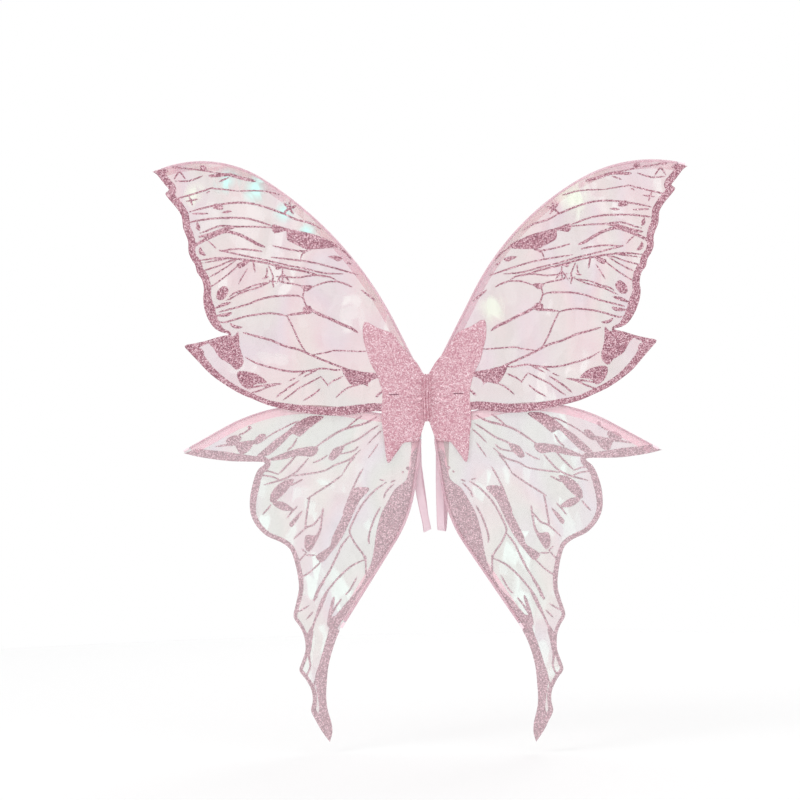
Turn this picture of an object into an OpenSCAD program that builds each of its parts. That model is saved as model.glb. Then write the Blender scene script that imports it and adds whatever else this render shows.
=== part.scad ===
// Fairy wings: two sheer wings on bent wires that fold about sewn channels on a soft back pad,
// worn by two elastic arm loops.
// Frame: +X to the right and +Z up, seen from the decorated face, which looks along -Y.
// The origin is the centre of the pad's rear face, the face that rests on the wearer's back.

/* [Back pad] */
// Width of the foam pad
pad_w = 28; // [24:1:28]
// Height of the foam pad
pad_h = 46; // [40:1:46]
// Thickness of the foam pad
pad_t = 4; // [3:0.5:4]
// Radius of the pad's corners
pad_corner = 6; // [3:1:8]
// Thickness of the felt panel that carries everything
panel_t = 1.2; // [1:0.1:1.4]

/* [Wing hinge] */
// Distance from the middle to each hinge axis
hinge_x = 8.5; // [8.5:0.5:10]
// Distance from the pad's rear face to the hinge axes
hinge_depth = 8.6; // [8.6:0.1:9.2]
// Angle by which each wing leans towards the viewer at rest
dihedral = 12; // [8:1:16]
// Height of each sewn hinge channel
channel_h = 48; // [40:2:50]
// Running clearance between a wire and the channel it turns in
hinge_clearance = 0.05; // [0.03:0.01:0.08]

/* [Wires and tapes] */
// Radius of the main frame wire
wire_r = 1.1; // [0.9:0.05:1.1]
// Radius of the thinner hind wing wire
hind_wire_r = 0.8; // [0.7:0.05:0.8]
// Width of the binding tape that lies on the film
leaf_w = 8.5; // [6:0.5:9]
// Thickness of the film and of the binding tape
film_t = 0.3; // [0.2:0.05:0.3]

/* [Cover and band] */
// Thickness of the glitter cover over the wing roots
cover_t = 1.6; // [1.2:0.1:1.8]
// Half width of the gathered centre band
band_half_w = 4.6; // [4:0.1:4.6]
// How far the band stands in front of the foam core
band_depth = 3.4; // [2.5:0.1:4]

/* [Arm loops] */
// Width of the elastic
strap_w = 9; // [8:0.5:9]
// Thickness of the elastic
strap_t = 1.2; // [1:0.1:1.2]

/* [Hidden] */

$fn = 48;
LEFT = -1;
RIGHT = 1;

glitter_pink = [0.87, 0.66, 0.73];
sheer = [0.93, 0.90, 0.91, 0.6];
tape_pink = [0.97, 0.85, 0.89];
elastic_pink = [0.96, 0.88, 0.91];
felt_pink = [0.90, 0.76, 0.81];
steel = [0.75, 0.76, 0.78];

panel_back_y = -pad_t;
panel_front_y = -pad_t - panel_t;

// Radii and layers of a wing. Its wires lie in the plane w = 0, and +w is towards the viewer.
tape_r = 1.6;
hind_tape_r = 1.2;
hind_wire_w = hind_tape_r - tape_r;
sleeve_gap = 0.05;
tape_bore_r = wire_r + sleeve_gap;
hind_tape_bore_r = hind_wire_r + sleeve_gap;
tape_t = film_t;
film_w = tape_r;
film_edge = 1;
hind_film_edge = 0.4;

// The wires' routes: straights are [length] and bends are [radius, turn], left turns positive.
// A bend is made in steps of bend_step degrees, and a bent wire is bent_slack thinner than its pin.
bend_step = 6;
bent_slack = 0.02;
root_half = 27;
crimp_top = -30;
crimp_h = 12;
hind_start = [2.6, crimp_top - crimp_h + 1];
cap_h = 6;
cap_over = 1;
end_straight = cap_h + 1;
// The frames are bent by hand, so the left one differs a little from the right one.
pin_foot = 43;
function upper_route(side) =
    side == LEFT
        ? [[root_half], [12, -26], [56], [400, -31], [124, -53], [end_straight]]
        : [[root_half], [12, -29], [95], [290, -34], [158, -40], [end_straight]];
function tail_route(side) =
    [[pin_foot], [60, 9], [45], [150, side == LEFT ? 24 : 26], [103], [end_straight]];
function hind_route(side) =
    side == LEFT
        ? [[crimp_h - 1], [10, -81], [84], [190, -37.5], [42.5], [end_straight]]
        : [[crimp_h - 1], [10, -80], [65.5], [190, -38.5], [50.5], [end_straight]];

// The binding tapes follow the same routes, from past the root up to the straight ends, which the
// caps cover.
upper_tape_start = 2;
hind_tape_start = 2;
tail_tape_start = 1;

// Trailing outlines, from each tip round to the root. Smooth curves pass through the points.
upper_edge = [
    [288, 243], [283, 240], [278, 234], [274, 229], [270, 224], [274, 220], [269, 213],
    [262, 205], [257, 197], [256, 190], [255, 183], [252, 176], [250, 169], [250, 160],
    [247, 152], [243, 146], [241, 138], [236, 131], [234, 121], [235, 112], [233, 101],
    [228, 89], [221, 79], [213, 74], [205, 72], [216, 69], [228, 65], [240, 62], [251, 59],
    [245, 51], [237, 42], [225, 29], [212, 19], [196, 9], [180, 2], [165, -4], [148, -8],
    [128, -12], [108, -15], [88, -16], [68, -14], [50, -12], [30, -13], [12, -14],
];
hind_edge = [
    [254, -58], [237, -62], [210, -65.5], [190, -66], [173, -66], [170, -68], [177, -74],
    [182, -83], [186, -95], [188, -108], [187, -122], [181, -135], [170, -146], [155, -153],
    [145, -161], [140, -175], [137, -190], [136, -205], [140, -220], [144, -235],
    [138, -246], [134, -258], [134, -272], [138, -284], [141, -294], [134, -304],
    [128, -316], [127, -328], [129, -338], [124, -349], [118, -360], [109, -373],
];
tail_edge = [
    [109, -373], [106, -362], [107, -351], [111, -336], [112, -322], [111, -306],
    [109, -290], [105, -275], [100, -262], [95, -252],
];

// How the left frame's different bends move its film: up at the top, in at the tail, and out
// and up at the middle points.
left_rise = 0.055;
left_tail_in = 4;
left_hind_out = 5;
left_hind_up = 4;
film_root_u = 3.5;
upper_film_foot = -14;
lower_film_top = -24;

// Outline of one half of the cover, from the middle of the top round to the root.
cover_edge = [
    [-1.5, 31], [2, 40], [10, 49], [20, 61], [29, 73], [44, 79], [59, 86], [61, 70],
    [57, 53], [53, 40], [46, 27], [41, 7], [42, -10], [42, -26], [40, -40], [39, -53],
    [37, -67], [34, -68], [29, -61], [23, -53], [18, -47], [8, -46], [1, -44], [-1, -34],
];

band_bottom = -24;
band_top = 28;
core_half_w = 3.6;
core_front_y = -12.6;
gathers = 5;

// Half outline of the felt panel: X and Z, from the middle of the top to the middle of the foot.
panel_half = [
    [0, 26], [7, 29], [13, 37], [25, 37], [25, 26], [16, 20], [16, -20], [17.5, -26],
    [17.5, -37], [8, -37], [7, -27], [0, -22],
];

// The arm loops' route: Y and Z along the elastic, and how far out each point is on each side.
loop_route = [
    [-3.4, -28], [-3.4, -33], [-3.4, -38], [-3.3, -60], [-3.2, -90], [-2.8, -118],
    [-1.6, -136], [1.5, -144], [5, -138], [7, -120], [7.5, -90], [7.5, -50], [7, -10],
    [6.5, 16], [5.5, 32], [3, 39.5], [-0.5, 41], [-2.8, 38.5], [-3.4, 35], [-3.4, 31], [-3.4, 27],
];
left_loop_out = [
    12.5, 12.5, 12.5, 12.5, 11.8, 7.5,
    4.2, 3.4, 4.5, 7.5, 11.5, 16, 19,
    20, 20, 20, 20, 20, 20, 20, 20,
];
right_loop_out = [
    12.5, 12.5, 12.5, 12.5, 12, 12,
    12, 12.5, 13.5, 14.5, 15.5, 17, 19,
    20, 20, 20, 20, 20, 20, 20, 20,
];

// ---- Routes and outlines -------------------------------------------------------------------

function way(heading) = [cos(heading), sin(heading)];

// The part of a leg up to fraction f.
function leg_part(leg, f) = len(leg) == 1 ? [leg[0] * f] : [leg[0], leg[1] * f];

function leg_turn(leg) = len(leg) == 1 ? 0 : leg[1];

function leg_end(p, heading, leg) =
    len(leg) == 1
        ? p + leg[0] * way(heading)
        : let (side = sign(leg[1]))
          p + side * leg[0] * (way(heading + 90) + way(heading + leg[1] - 90));

function legs_between(route, first, last) = [for (i = [first : last]) route[i]];

function legs_from(route, first) = legs_between(route, first, len(route) - 1);

// Where a route has come to after its first few legs: [point, heading].
function state_after(p, heading, route, count, i = 0) =
    i == count
        ? [p, heading]
        : state_after(leg_end(p, heading, route[i]), heading + leg_turn(route[i]), route, count, i + 1);

// Stations along a route, each [point, heading]: both ends of a straight, and a fan on a bend.
function stations(p, heading, route, i = 0) =
    i == len(route)
        ? [[p, heading]]
        : let (
            leg = route[i],
            steps = len(leg) == 1 ? 1 : ceil(abs(leg[1]) / bend_step),
            here = [for (k = [0 : steps - 1])
                let (part = leg_part(leg, k / steps))
                [leg_end(p, heading, part), heading + leg_turn(part)]]
          )
          concat(here, stations(leg_end(p, heading, leg), heading + leg_turn(leg), route, i + 1));

// Points along a route, moved to the left by an offset.
function route_points(p, heading, route, offset) =
    [for (s = stations(p, heading, route)) s[0] + offset * way(s[1] + 90)];

function ramp(x, from, to) = min(max((x - from) / (to - from), 0), 1);

// Film points as they lie on one side.
function hung(side, points) =
    side == RIGHT
        ? points
        : [for (p = points)
            let (
                rise = left_rise * max(p[1] - 60, 0),
                tail = ramp(-p[1], 210, 270),
                hind = ramp(p[0], 150, 250) * ramp(p[1], -90, -70) * ramp(-p[1], -110, -75)
            )
            p + [left_hind_out * hind - left_tail_in * tail, left_hind_up * hind + rise]];

function reversed(list) = [for (i = [len(list) - 1 : -1 : 0]) list[i]];

// A smooth curve through the points, with a number of steps between neighbours.
function smooth(points, steps) =
    let (last = len(points) - 1)
    concat(
        [for (i = [0 : last - 1])
            for (k = [0 : steps - 1])
                let (
                    t = k / steps,
                    a = points[max(i - 1, 0)],
                    b = points[i],
                    c = points[i + 1],
                    d = points[min(i + 2, last)]
                )
                b + (c - a) * t / 2 + (2 * a - 5 * b + 4 * c - d) * t * t / 2
                    + (3 * b - a - 3 * c + d) * t * t * t / 2],
        [points[last]]
    );

// ---- Placing and sweeping ------------------------------------------------------------------

// Puts a wing drawn flat, with u to X, v to Y and w to Z, at its hinge on one side.
module on_side(side) {
    mirror([side == LEFT ? 1 : 0, 0, 0])
        translate([hinge_x, -hinge_depth, 0])
            rotate([0, 0, -dihedral])
                rotate([90, 0, 0])
                    children();
}

// Sweeps a closed section along a route as one solid: the section's x is to the left of the way,
// and its y is w. Its points go round anticlockwise.
module sweep_route(p, heading, route, section) {
    rings = stations(p, heading, route);
    count = len(section);
    last = len(rings) - 1;
    verts = [for (s = rings)
        for (q = section)
            let (flat = s[0] + q[0] * way(s[1] + 90))
            [flat[0], flat[1], q[1]]];
    walls = [for (i = [0 : last - 1])
        for (k = [0 : count - 1])
            let (a = count * i + k, b = count * i + (k + 1) % count)
            [a, a + count, b + count, b]];
    first_cap = [for (k = [0 : count - 1]) k];
    last_cap = [for (k = [count - 1 : -1 : 0]) count * last + k];
    polyhedron(points = verts, faces = concat([first_cap], walls, [last_cap]));
}

function arc(radius, from, to, w) =
    [for (a = [from : (to > from ? 30 : -30) : to]) [radius * cos(a), w + radius * sin(a)]];

function wire_section(radius, w) = arc(radius - bent_slack, 0, 330, w);

// The section of a binding tape: it wraps round the wire and its leaf lies flat on the film.
// inward is the side of the way that the wing is on, and front is +1 where the film is in front.
function tape_section(bore_r, sleeve_r, wire_w, inward, front) =
    let (
        turn = inward * front,
        wrap = concat(
            [[leaf_w, tape_r], [0, tape_r]],
            arc(sleeve_r, 120, 390, front * wire_w),
            arc(bore_r, 390, 90, front * wire_w),
            [[0.6, tape_r - tape_t], [leaf_w, tape_r - tape_t]]
        ),
        placed = [for (q = wrap) [inward * q[0], front * q[1]]]
    )
    turn > 0 ? placed : reversed(placed);

module plate(outline, low, thickness) {
    translate([0, 0, low])
        linear_extrude(thickness)
            polygon(outline);
}

module end_cap(p, heading, w, radius) {
    translate([p[0], p[1], w])
        rotate([0, 0, heading])
            rotate([0, 90, 0])
                difference() {
                    translate([0, 0, -cap_h])
                        cylinder(h = cap_h + cap_over, r = radius + 0.5);
                    translate([0, 0, -cap_h - 1])
                        cylinder(h = cap_h + 1, r = radius + 0.15);
                }
}

module route_cap(p, heading, route, w, radius) {
    end = state_after(p, heading, route, len(route));
    end_cap(end[0], end[1], w, radius);
}

// A flat band swept along points in space, its width lying across the way and along X.
module band_sweep(points, width, thickness) {
    last = len(points) - 1;
    rings = [for (i = [0 : last])
        let (
            ahead = points[min(i + 1, last)] - points[max(i - 1, 0)],
            across = cross(ahead, cross([1, 0, 0], ahead)),
            side = across / norm(across) * width / 2,
            up = cross(ahead, across) / norm(cross(ahead, across)) * thickness / 2
        )
        [points[i] - side - up, points[i] + side - up, points[i] + side + up, points[i] - side + up]];
    verts = [for (ring = rings) for (v = ring) v];
    walls = [for (i = [0 : last - 1])
        for (k = [0 : 3])
            let (a = 4 * i + k, b = 4 * i + (k + 1) % 4)
            [a, a + 4, b + 4, b]];
    polyhedron(
        points = verts,
        faces = concat([[0, 1, 2, 3]], walls, [[4 * last + 3, 4 * last + 2, 4 * last + 1, 4 * last]])
    );
}

// ---- Wearing harness -----------------------------------------------------------------------

module back_pad() {
    color(felt_pink)
        rotate([90, 0, 0])
            linear_extrude(pad_t)
                union() {
                    square([pad_w, pad_h - 2 * pad_corner], center = true);
                    square([pad_w - 2 * pad_corner, pad_h], center = true);
                    for (x = [-1, 1])
                        for (z = [-1, 1])
                            translate([x * (pad_w / 2 - pad_corner), z * (pad_h / 2 - pad_corner)])
                                circle(pad_corner);
                }
}

module centre_panel() {
    outline = concat(panel_half, [for (p = reversed(panel_half)) if (p[0] > 0) [-p[0], p[1]]]);
    color(felt_pink)
        translate([0, panel_back_y, 0])
            rotate([90, 0, 0])
                linear_extrude(panel_t)
                    polygon(outline);
}

module body_core() {
    color(glitter_pink)
        translate([-core_half_w, core_front_y, band_bottom + 2])
            cube([2 * core_half_w, panel_front_y - core_front_y, band_top - band_bottom - 4]);
}

// The band's section bulges forward in small gathers.
module centre_band() {
    steps = 40;
    front = [for (i = [0 : steps])
        let (s = i / steps, a = 180 * s)
        [-band_half_w * cos(a), core_front_y - band_depth * sin(a) * (0.9 + 0.1 * cos(360 * gathers * s))]];
    color(glitter_pink)
        translate([0, 0, band_bottom])
            linear_extrude(band_top - band_bottom)
                polygon(front);
}

module band_stitches() {
    color(tape_pink)
        for (z = [band_bottom, band_top - 1])
            translate([-3, core_front_y, z])
                cube([6, 1.2, 1]);
}

module hinge_channel(side) {
    flange_t = 0.4;
    reach = hinge_depth + panel_front_y;
    color(felt_pink)
        translate([side * hinge_x, -hinge_depth, -channel_h / 2])
            difference() {
                union() {
                    cylinder(h = channel_h, r = tape_r);
                    translate([-0.9, 0, 0])
                        cube([1.8, reach, channel_h]);
                    translate([-3, reach - flange_t, 0])
                        cube([6, flange_t, channel_h]);
                }
                translate([0, 0, -1])
                    cylinder(h = channel_h + 2, r = wire_r + hinge_clearance);
            }
}

module strap(side, out) {
    points = [for (i = [0 : len(loop_route) - 1]) [side * out[i], loop_route[i][0], loop_route[i][1]]];
    color(elastic_pink)
        band_sweep(smooth(points, 3), strap_w, strap_t);
}

module strap_stitches() {
    stitch_t = 0.4;
    color(tape_pink)
        for (side = [LEFT, RIGHT])
            for (tab = [[loop_tab_out(0), loop_route[1][1]], [loop_tab_out(1), loop_route[19][1]]])
                translate([side * tab[0] - 3, panel_back_y + strap_t, tab[1] - 1])
                    cube([6, stitch_t, 2]);
}

// How far out the lower (0) and upper (1) ends of the arm loops are sewn.
function loop_tab_out(end) = end == 0 ? right_loop_out[0] : right_loop_out[len(right_loop_out) - 1];

// ---- Wings ---------------------------------------------------------------------------------

// One wire: its straight root is the hinge pin, and it runs on up and down into both wings.
module frame_wire(side) {
    top = state_after([0, 0], 90, upper_route(side), 1);
    foot = state_after([0, 0], -90, tail_route(side), 1);
    color(steel)
        on_side(side) {
            rotate([90, 0, 0])
                translate([0, 0, -root_half])
                    cylinder(h = root_half + pin_foot, r = wire_r);
            sweep_route(top[0], top[1], legs_from(upper_route(side), 1), wire_section(wire_r, 0));
            sweep_route(foot[0], foot[1], legs_from(tail_route(side), 1), wire_section(wire_r, 0));
        }
}

module hind_wire(side) {
    color(steel)
        on_side(side)
            sweep_route(hind_start, 90, hind_route(side), wire_section(hind_wire_r, hind_wire_w));
}

// A ferrule that clamps the hind wire beside the frame wire.
module wire_crimp(side) {
    wall_r = 1.5;
    color(steel)
        on_side(side)
            translate([0, crimp_top, 0])
                rotate([90, 0, 0])
                    difference() {
                        union() {
                            cylinder(h = crimp_h, r = wall_r);
                            translate([hind_start[0], 0, 0])
                                cylinder(h = crimp_h, r = wall_r);
                            translate([0, -wall_r, 0])
                                cube([hind_start[0], 2 * wall_r, crimp_h]);
                        }
                        translate([0, 0, -1])
                            cylinder(h = crimp_h + 2, r = wire_r + sleeve_gap);
                        translate([hind_start[0], hind_wire_w, -1])
                            cylinder(h = crimp_h + 2, r = hind_wire_r + sleeve_gap);
                    }
}

module wire_caps(side) {
    color(tape_pink)
        on_side(side) {
            route_cap([0, 0], 90, upper_route(side), 0, wire_r);
            route_cap([0, 0], -90, tail_route(side), 0, wire_r);
            route_cap(hind_start, 90, hind_route(side), hind_wire_w, hind_wire_r);
        }
}

module binding(side, p, heading, route, first, section) {
    start = state_after(p, heading, route, first);
    color(tape_pink)
        on_side(side)
            sweep_route(start[0], start[1], legs_between(route, first, len(route) - 2), section);
}

module upper_binding(side) {
    section = tape_section(tape_bore_r, tape_r, 0, -1, 1);
    binding(side, [0, 0], 90, upper_route(side), upper_tape_start, section);
}

module hind_binding(side) {
    section = tape_section(hind_tape_bore_r, hind_tape_r, hind_wire_w, -1, -1);
    binding(side, hind_start, 90, hind_route(side), hind_tape_start, section);
}

module tail_binding(side) {
    section = tape_section(tape_bore_r, tape_r, 0, 1, -1);
    binding(side, [0, 0], -90, tail_route(side), tail_tape_start, section);
}

module upper_film(side) {
    route = upper_route(side);
    start = state_after([0, 0], 90, route, 1);
    outline = concat(
        [[film_root_u, upper_film_foot], [film_root_u, root_half - 2]],
        route_points(start[0], start[1], legs_from(route, 1), -film_edge),
        smooth(hung(side, upper_edge), 3)
    );
    color(sheer)
        on_side(side)
            plate(outline, film_w, film_t);
}

module lower_film(side) {
    hind = state_after(hind_start, 90, hind_route(side), 2);
    tail = state_after([0, 0], -90, tail_route(side), 1);
    outline = concat(
        [[film_root_u, lower_film_top]],
        route_points(hind[0], hind[1], legs_from(hind_route(side), 2), -hind_film_edge),
        smooth(hung(side, hind_edge), 3),
        smooth(hung(side, tail_edge), 3),
        reversed(route_points(tail[0], tail[1], legs_from(tail_route(side), 1), film_edge))
    );
    color(sheer)
        on_side(side)
            plate(outline, -film_w - film_t, film_t);
}

module cover(side) {
    color(glitter_pink)
        on_side(side)
            plate(smooth(cover_edge, 3), film_w + film_t, cover_t);
}

// A short bar of stitching that holds the cover to the wing.
module cover_stitch(side) {
    color(steel)
        on_side(side)
            translate([24, 5, film_w + film_t + cover_t])
                cube([9, 1.4, 0.4]);
}

back_pad();
centre_panel();
body_core();
centre_band();
band_stitches();
hinge_channel(LEFT);  // left_hinge_channel
hinge_channel(RIGHT);  // right_hinge_channel
strap(LEFT, left_loop_out);  // left_strap
strap(RIGHT, right_loop_out);  // right_strap
strap_stitches();
frame_wire(LEFT);  // left_frame_wire
hind_wire(LEFT);  // left_hind_wire
wire_crimp(LEFT);  // left_wire_crimp
wire_caps(LEFT);  // left_wire_caps
upper_film(LEFT);  // left_upper_film
lower_film(LEFT);  // left_lower_film
upper_binding(LEFT);  // left_upper_binding
hind_binding(LEFT);  // left_hind_binding
tail_binding(LEFT);  // left_tail_binding
cover(LEFT);  // left_cover
cover_stitch(LEFT);  // left_cover_stitch
frame_wire(RIGHT);  // right_frame_wire
hind_wire(RIGHT);  // right_hind_wire
wire_crimp(RIGHT);  // right_wire_crimp
wire_caps(RIGHT);  // right_wire_caps
upper_film(RIGHT);  // right_upper_film
lower_film(RIGHT);  // right_lower_film
upper_binding(RIGHT);  // right_upper_binding
hind_binding(RIGHT);  // right_hind_binding
tail_binding(RIGHT);  // right_tail_binding
cover(RIGHT);  // right_cover
cover_stitch(RIGHT);  // right_cover_stitch
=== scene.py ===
# %% [markdown]
# # Fairy wings, finished around their CAD frame
# Two sheer wings printed with glitter fold about sewn channels on a small back pad.
# The imported CAD part is the fixed frame: every piece below is made in its coordinates, in metres,
# and all but the root covers and their flakes ride on one of its three bodies, root, left_wing
# and right_wing.

# %% Load the frame
import math

import bmesh
import bpy
import numpy as np
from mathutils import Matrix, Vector, noise
from mathutils.geometry import delaunay_2d_cdt


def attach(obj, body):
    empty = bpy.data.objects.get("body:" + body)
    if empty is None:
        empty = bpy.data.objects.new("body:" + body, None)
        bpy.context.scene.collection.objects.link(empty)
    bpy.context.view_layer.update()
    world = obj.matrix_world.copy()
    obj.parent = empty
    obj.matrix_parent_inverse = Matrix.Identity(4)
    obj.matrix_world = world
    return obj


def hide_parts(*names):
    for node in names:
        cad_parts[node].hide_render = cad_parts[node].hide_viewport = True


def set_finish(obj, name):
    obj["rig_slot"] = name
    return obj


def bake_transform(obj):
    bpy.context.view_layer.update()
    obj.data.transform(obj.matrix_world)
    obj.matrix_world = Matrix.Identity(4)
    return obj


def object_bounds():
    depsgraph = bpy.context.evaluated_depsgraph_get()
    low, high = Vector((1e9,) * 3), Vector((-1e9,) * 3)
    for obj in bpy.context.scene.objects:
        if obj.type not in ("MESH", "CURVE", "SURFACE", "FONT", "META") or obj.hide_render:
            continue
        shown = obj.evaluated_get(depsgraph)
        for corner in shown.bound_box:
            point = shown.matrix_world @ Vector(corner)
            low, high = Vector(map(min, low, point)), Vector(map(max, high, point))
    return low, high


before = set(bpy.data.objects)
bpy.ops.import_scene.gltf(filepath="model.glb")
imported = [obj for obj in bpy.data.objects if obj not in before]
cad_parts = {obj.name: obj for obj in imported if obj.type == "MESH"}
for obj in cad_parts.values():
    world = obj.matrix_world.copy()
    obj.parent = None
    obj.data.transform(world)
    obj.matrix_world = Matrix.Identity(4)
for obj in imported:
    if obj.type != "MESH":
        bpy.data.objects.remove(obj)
cad_box = [list(corner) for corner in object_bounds()]
print("CAD box in metres:", cad_box)

# %% [markdown]
# ## Camera, light and floor
# A wide, flat, glossy thing is shown best by big soft lights and a pale room, so that its film
# glows and only its creases glint. The camera stands three metres away with a long lens, a little
# to the right of the wings' middle, because a long lens keeps both wings the same size.

# %% Camera
TURN, ROLL = math.radians(7), math.radians(1)
DISTANCE = 3.0
SIDE_STEP = 0.0308
LENS = 122.7
scene = bpy.context.scene


def added(name, data, slot=None):
    """A new object in the scene that holds a mesh, a curve, a light or a camera."""
    made = bpy.data.objects.new(name, data)
    scene.collection.objects.link(made)
    if slot:
        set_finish(made, slot)
    return made


right_way = Vector((math.cos(TURN), math.sin(TURN), 0))
camera = added("camera", bpy.data.cameras.new("camera"))
scene.camera = camera
camera.data.lens = LENS
camera.location = (Vector((math.sin(TURN), -math.cos(TURN), 0)) * DISTANCE
                   - SIDE_STEP * right_way)
camera.rotation_euler = (math.radians(90), ROLL, TURN)
print("camera at", tuple(round(c, 3) for c in camera.location))

# %% A box of nodes
# One small class adds nodes to any tree, of a material or of geometry. It takes a node's type, its
# settings, which are set first, and the values or links of its sockets.


class Number:
    """A socket that holds a number, so that Python's own operators add the Math nodes."""

    def __init__(self, board, socket):
        self.board, self.socket = board, socket

    def __add__(self, other):
        return self.board.maths("ADD", self, other)

    def __radd__(self, other):
        return self.board.maths("ADD", other, self)

    def __sub__(self, other):
        return self.board.maths("SUBTRACT", self, other)

    def __rsub__(self, other):
        return self.board.maths("SUBTRACT", other, self)

    def __mul__(self, other):
        return self.board.maths("MULTIPLY", self, other)

    def __rmul__(self, other):
        return self.board.maths("MULTIPLY", other, self)

    def __gt__(self, other):
        return self.board.maths("GREATER_THAN", self, other)

    def __lt__(self, other):
        return self.board.maths("LESS_THAN", self, other)


class Board:
    """Adds nodes to one tree and wires them up."""

    def __init__(self, tree):
        self.tree = tree
        tree.nodes.clear()

    def node(self, kind, settings=None, **sockets):
        node = self.tree.nodes.new(kind)
        for key, value in (settings or {}).items():
            if key == "stops":
                elements = node.color_ramp.elements
                while len(elements) < len(value):
                    elements.new(1)
                for element, (place, colour) in zip(elements, value):
                    element.position, element.color = place, (*colour, 1)
            else:
                setattr(node, key, value)
        for key, value in sockets.items():
            number = key.rsplit("_", 1)[-1]
            socket = (node.inputs[int(number)] if number.isdigit()
                      else node.inputs[key.replace("_", " ")])
            self.feed(value, socket)
        return node

    def feed(self, value, socket):
        value = getattr(value, "socket", value)
        if isinstance(value, bpy.types.NodeSocket):
            self.tree.links.new(value, socket)
        else:
            socket.default_value = value

    def maths(self, operation, first, second=0.0):
        node = self.node("ShaderNodeMath", {"operation": operation}, in_0=first, in_1=second)
        return Number(self, node.outputs[0])

    def held(self, value):
        """A number kept between 0 and 1."""
        return self.maths("MINIMUM", self.maths("MAXIMUM", value, 0.0), 1.0)


def rgb(red, green, blue):
    """A colour given as a screen shows it, from 0 to 255, turned linear for Cycles."""
    return tuple(((c / 255 + 0.055) / 1.055) ** 2.4 for c in (red, green, blue))


def opaque(red, green, blue):
    """The same colour with a full fourth channel, which a mix asks for."""
    return (*rgb(red, green, blue), 1)


# %% Room
world = bpy.data.worlds.new("pale_room")
scene.world = world
world.use_nodes = True
room = Board(world.node_tree)
sky = room.node("ShaderNodeBackground", Color=(1, 1, 1, 1), Strength=1.0)
room.node("ShaderNodeOutputWorld", Surface=sky.outputs[0])
scene.view_settings.view_transform = "Standard"


def soft_light(name, place, size, power):
    """A square panel of light that faces the wings' middle."""
    light = bpy.data.lights.new(name, "AREA")
    light.size, light.energy = size, power
    lamp = added(name, light)
    lamp.location = place
    lamp.rotation_euler = (-Vector(place)).to_track_quat("-Z", "Y").to_euler()


soft_light("key_light", (-1.3, -1.7, 1.6), 1.0, 9)
soft_light("fill_light", (1.8, -1.9, 0.6), 1.4, 4)
soft_light("rim_light", (0.5, 1.6, 1.4), 1.0, 4)

FLOOR_RADIUS, FLOOR_GAP = 1.5, 0.012
floor_mesh = bpy.data.meshes.new("floor")
shape = bmesh.new()
bmesh.ops.create_circle(shape, cap_ends=True, segments=64, radius=FLOOR_RADIUS)
bmesh.ops.translate(shape, verts=shape.verts, vec=(0, 0, cad_box[0][2] - FLOOR_GAP))
shape.to_mesh(floor_mesh)
shape.free()
floor = added("floor", floor_mesh)
floor_look = bpy.data.materials.new("pale_floor")
floor_look.use_nodes = True
paint = Board(floor_look.node_tree)
matt = paint.node("ShaderNodeBsdfPrincipled", Base_Color=(0.9, 0.9, 0.9, 1), Roughness=0.9)
paint.node("ShaderNodeOutputMaterial", Surface=matt.outputs[0])
floor_mesh.materials.append(floor_look)

# %% [markdown]
# ## Finishes
# The object is made of few stuffs: cellophane film that shimmers, glitter print and glitter fabric,
# satin tape, woven elastic, felt, thread and steel wire. Each one is a small node tree that reads
# Object coordinates, in metres, so that a scale of 1000 means one cell a millimetre.

# %% Finish helper


class Finish(Board):
    """A material made around one Principled shader. Constants are set on its own sockets."""

    def __init__(self, name, **constants):
        self.material = bpy.data.materials.new(name)
        self.material.use_nodes = True
        super().__init__(self.material.node_tree)
        self.shader = self.node("ShaderNodeBsdfPrincipled", **constants)
        self.node("ShaderNodeOutputMaterial", Surface=self.shader.outputs[0])
        self.place = self.node("ShaderNodeTexCoord").outputs["Object"]

    def number(self, socket):
        return Number(self, socket)

    def height(self):
        """How far up the wings a point is, in metres."""
        parts = self.node("ShaderNodeSeparateXYZ", None, Vector=self.place)
        return Number(self, parts.outputs["Z"])

    def stretched(self, x, y, z, turn=0.0):
        """Object coordinates turned and scaled, so that a pattern runs one way."""
        return self.node("ShaderNodeMapping", None, Vector=self.place, Rotation=(0, turn, 0),
                         Scale=(x, y, z)).outputs[0]

    def cloud(self, scale, where=None, detail=3.0, roughness=0.5):
        made = self.node("ShaderNodeTexNoise", None, Vector=where or self.place, Scale=scale,
                         Detail=detail, Roughness=roughness)
        return Number(self, made.outputs[0])

    def flakes(self, scale, where=None, blur=None):
        if blur is None:
            return self.node("ShaderNodeTexVoronoi", None, Vector=where or self.place, Scale=scale)
        return self.node("ShaderNodeTexVoronoi", {"feature": "SMOOTH_F1"},
                         Vector=where or self.place, Scale=scale, Smoothness=blur)

    def grey(self, colour):
        return Number(self, self.node("ShaderNodeSeparateColor", None, Color=colour).outputs[0])

    def ramp(self, factor, *stops):
        return self.node("ShaderNodeValToRGB", {"stops": stops}, Fac=factor).outputs[0]

    def mix(self, factor, first, second, blend="MIX"):
        made = self.node("ShaderNodeMix", {"data_type": "RGBA", "blend_type": blend},
                         in_0=factor, in_6=first, in_7=second)
        return made.outputs[2]

    def bump(self, height, strength, depth):
        made = self.node("ShaderNodeBump", None, Height=height, Strength=strength, Distance=depth)
        self.feed(made.outputs[0], self.shader.inputs["Normal"])

    def show(self, **sockets):
        for key, value in sockets.items():
            self.feed(value, self.shader.inputs[key.replace("_", " ")])
        return self.material
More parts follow.
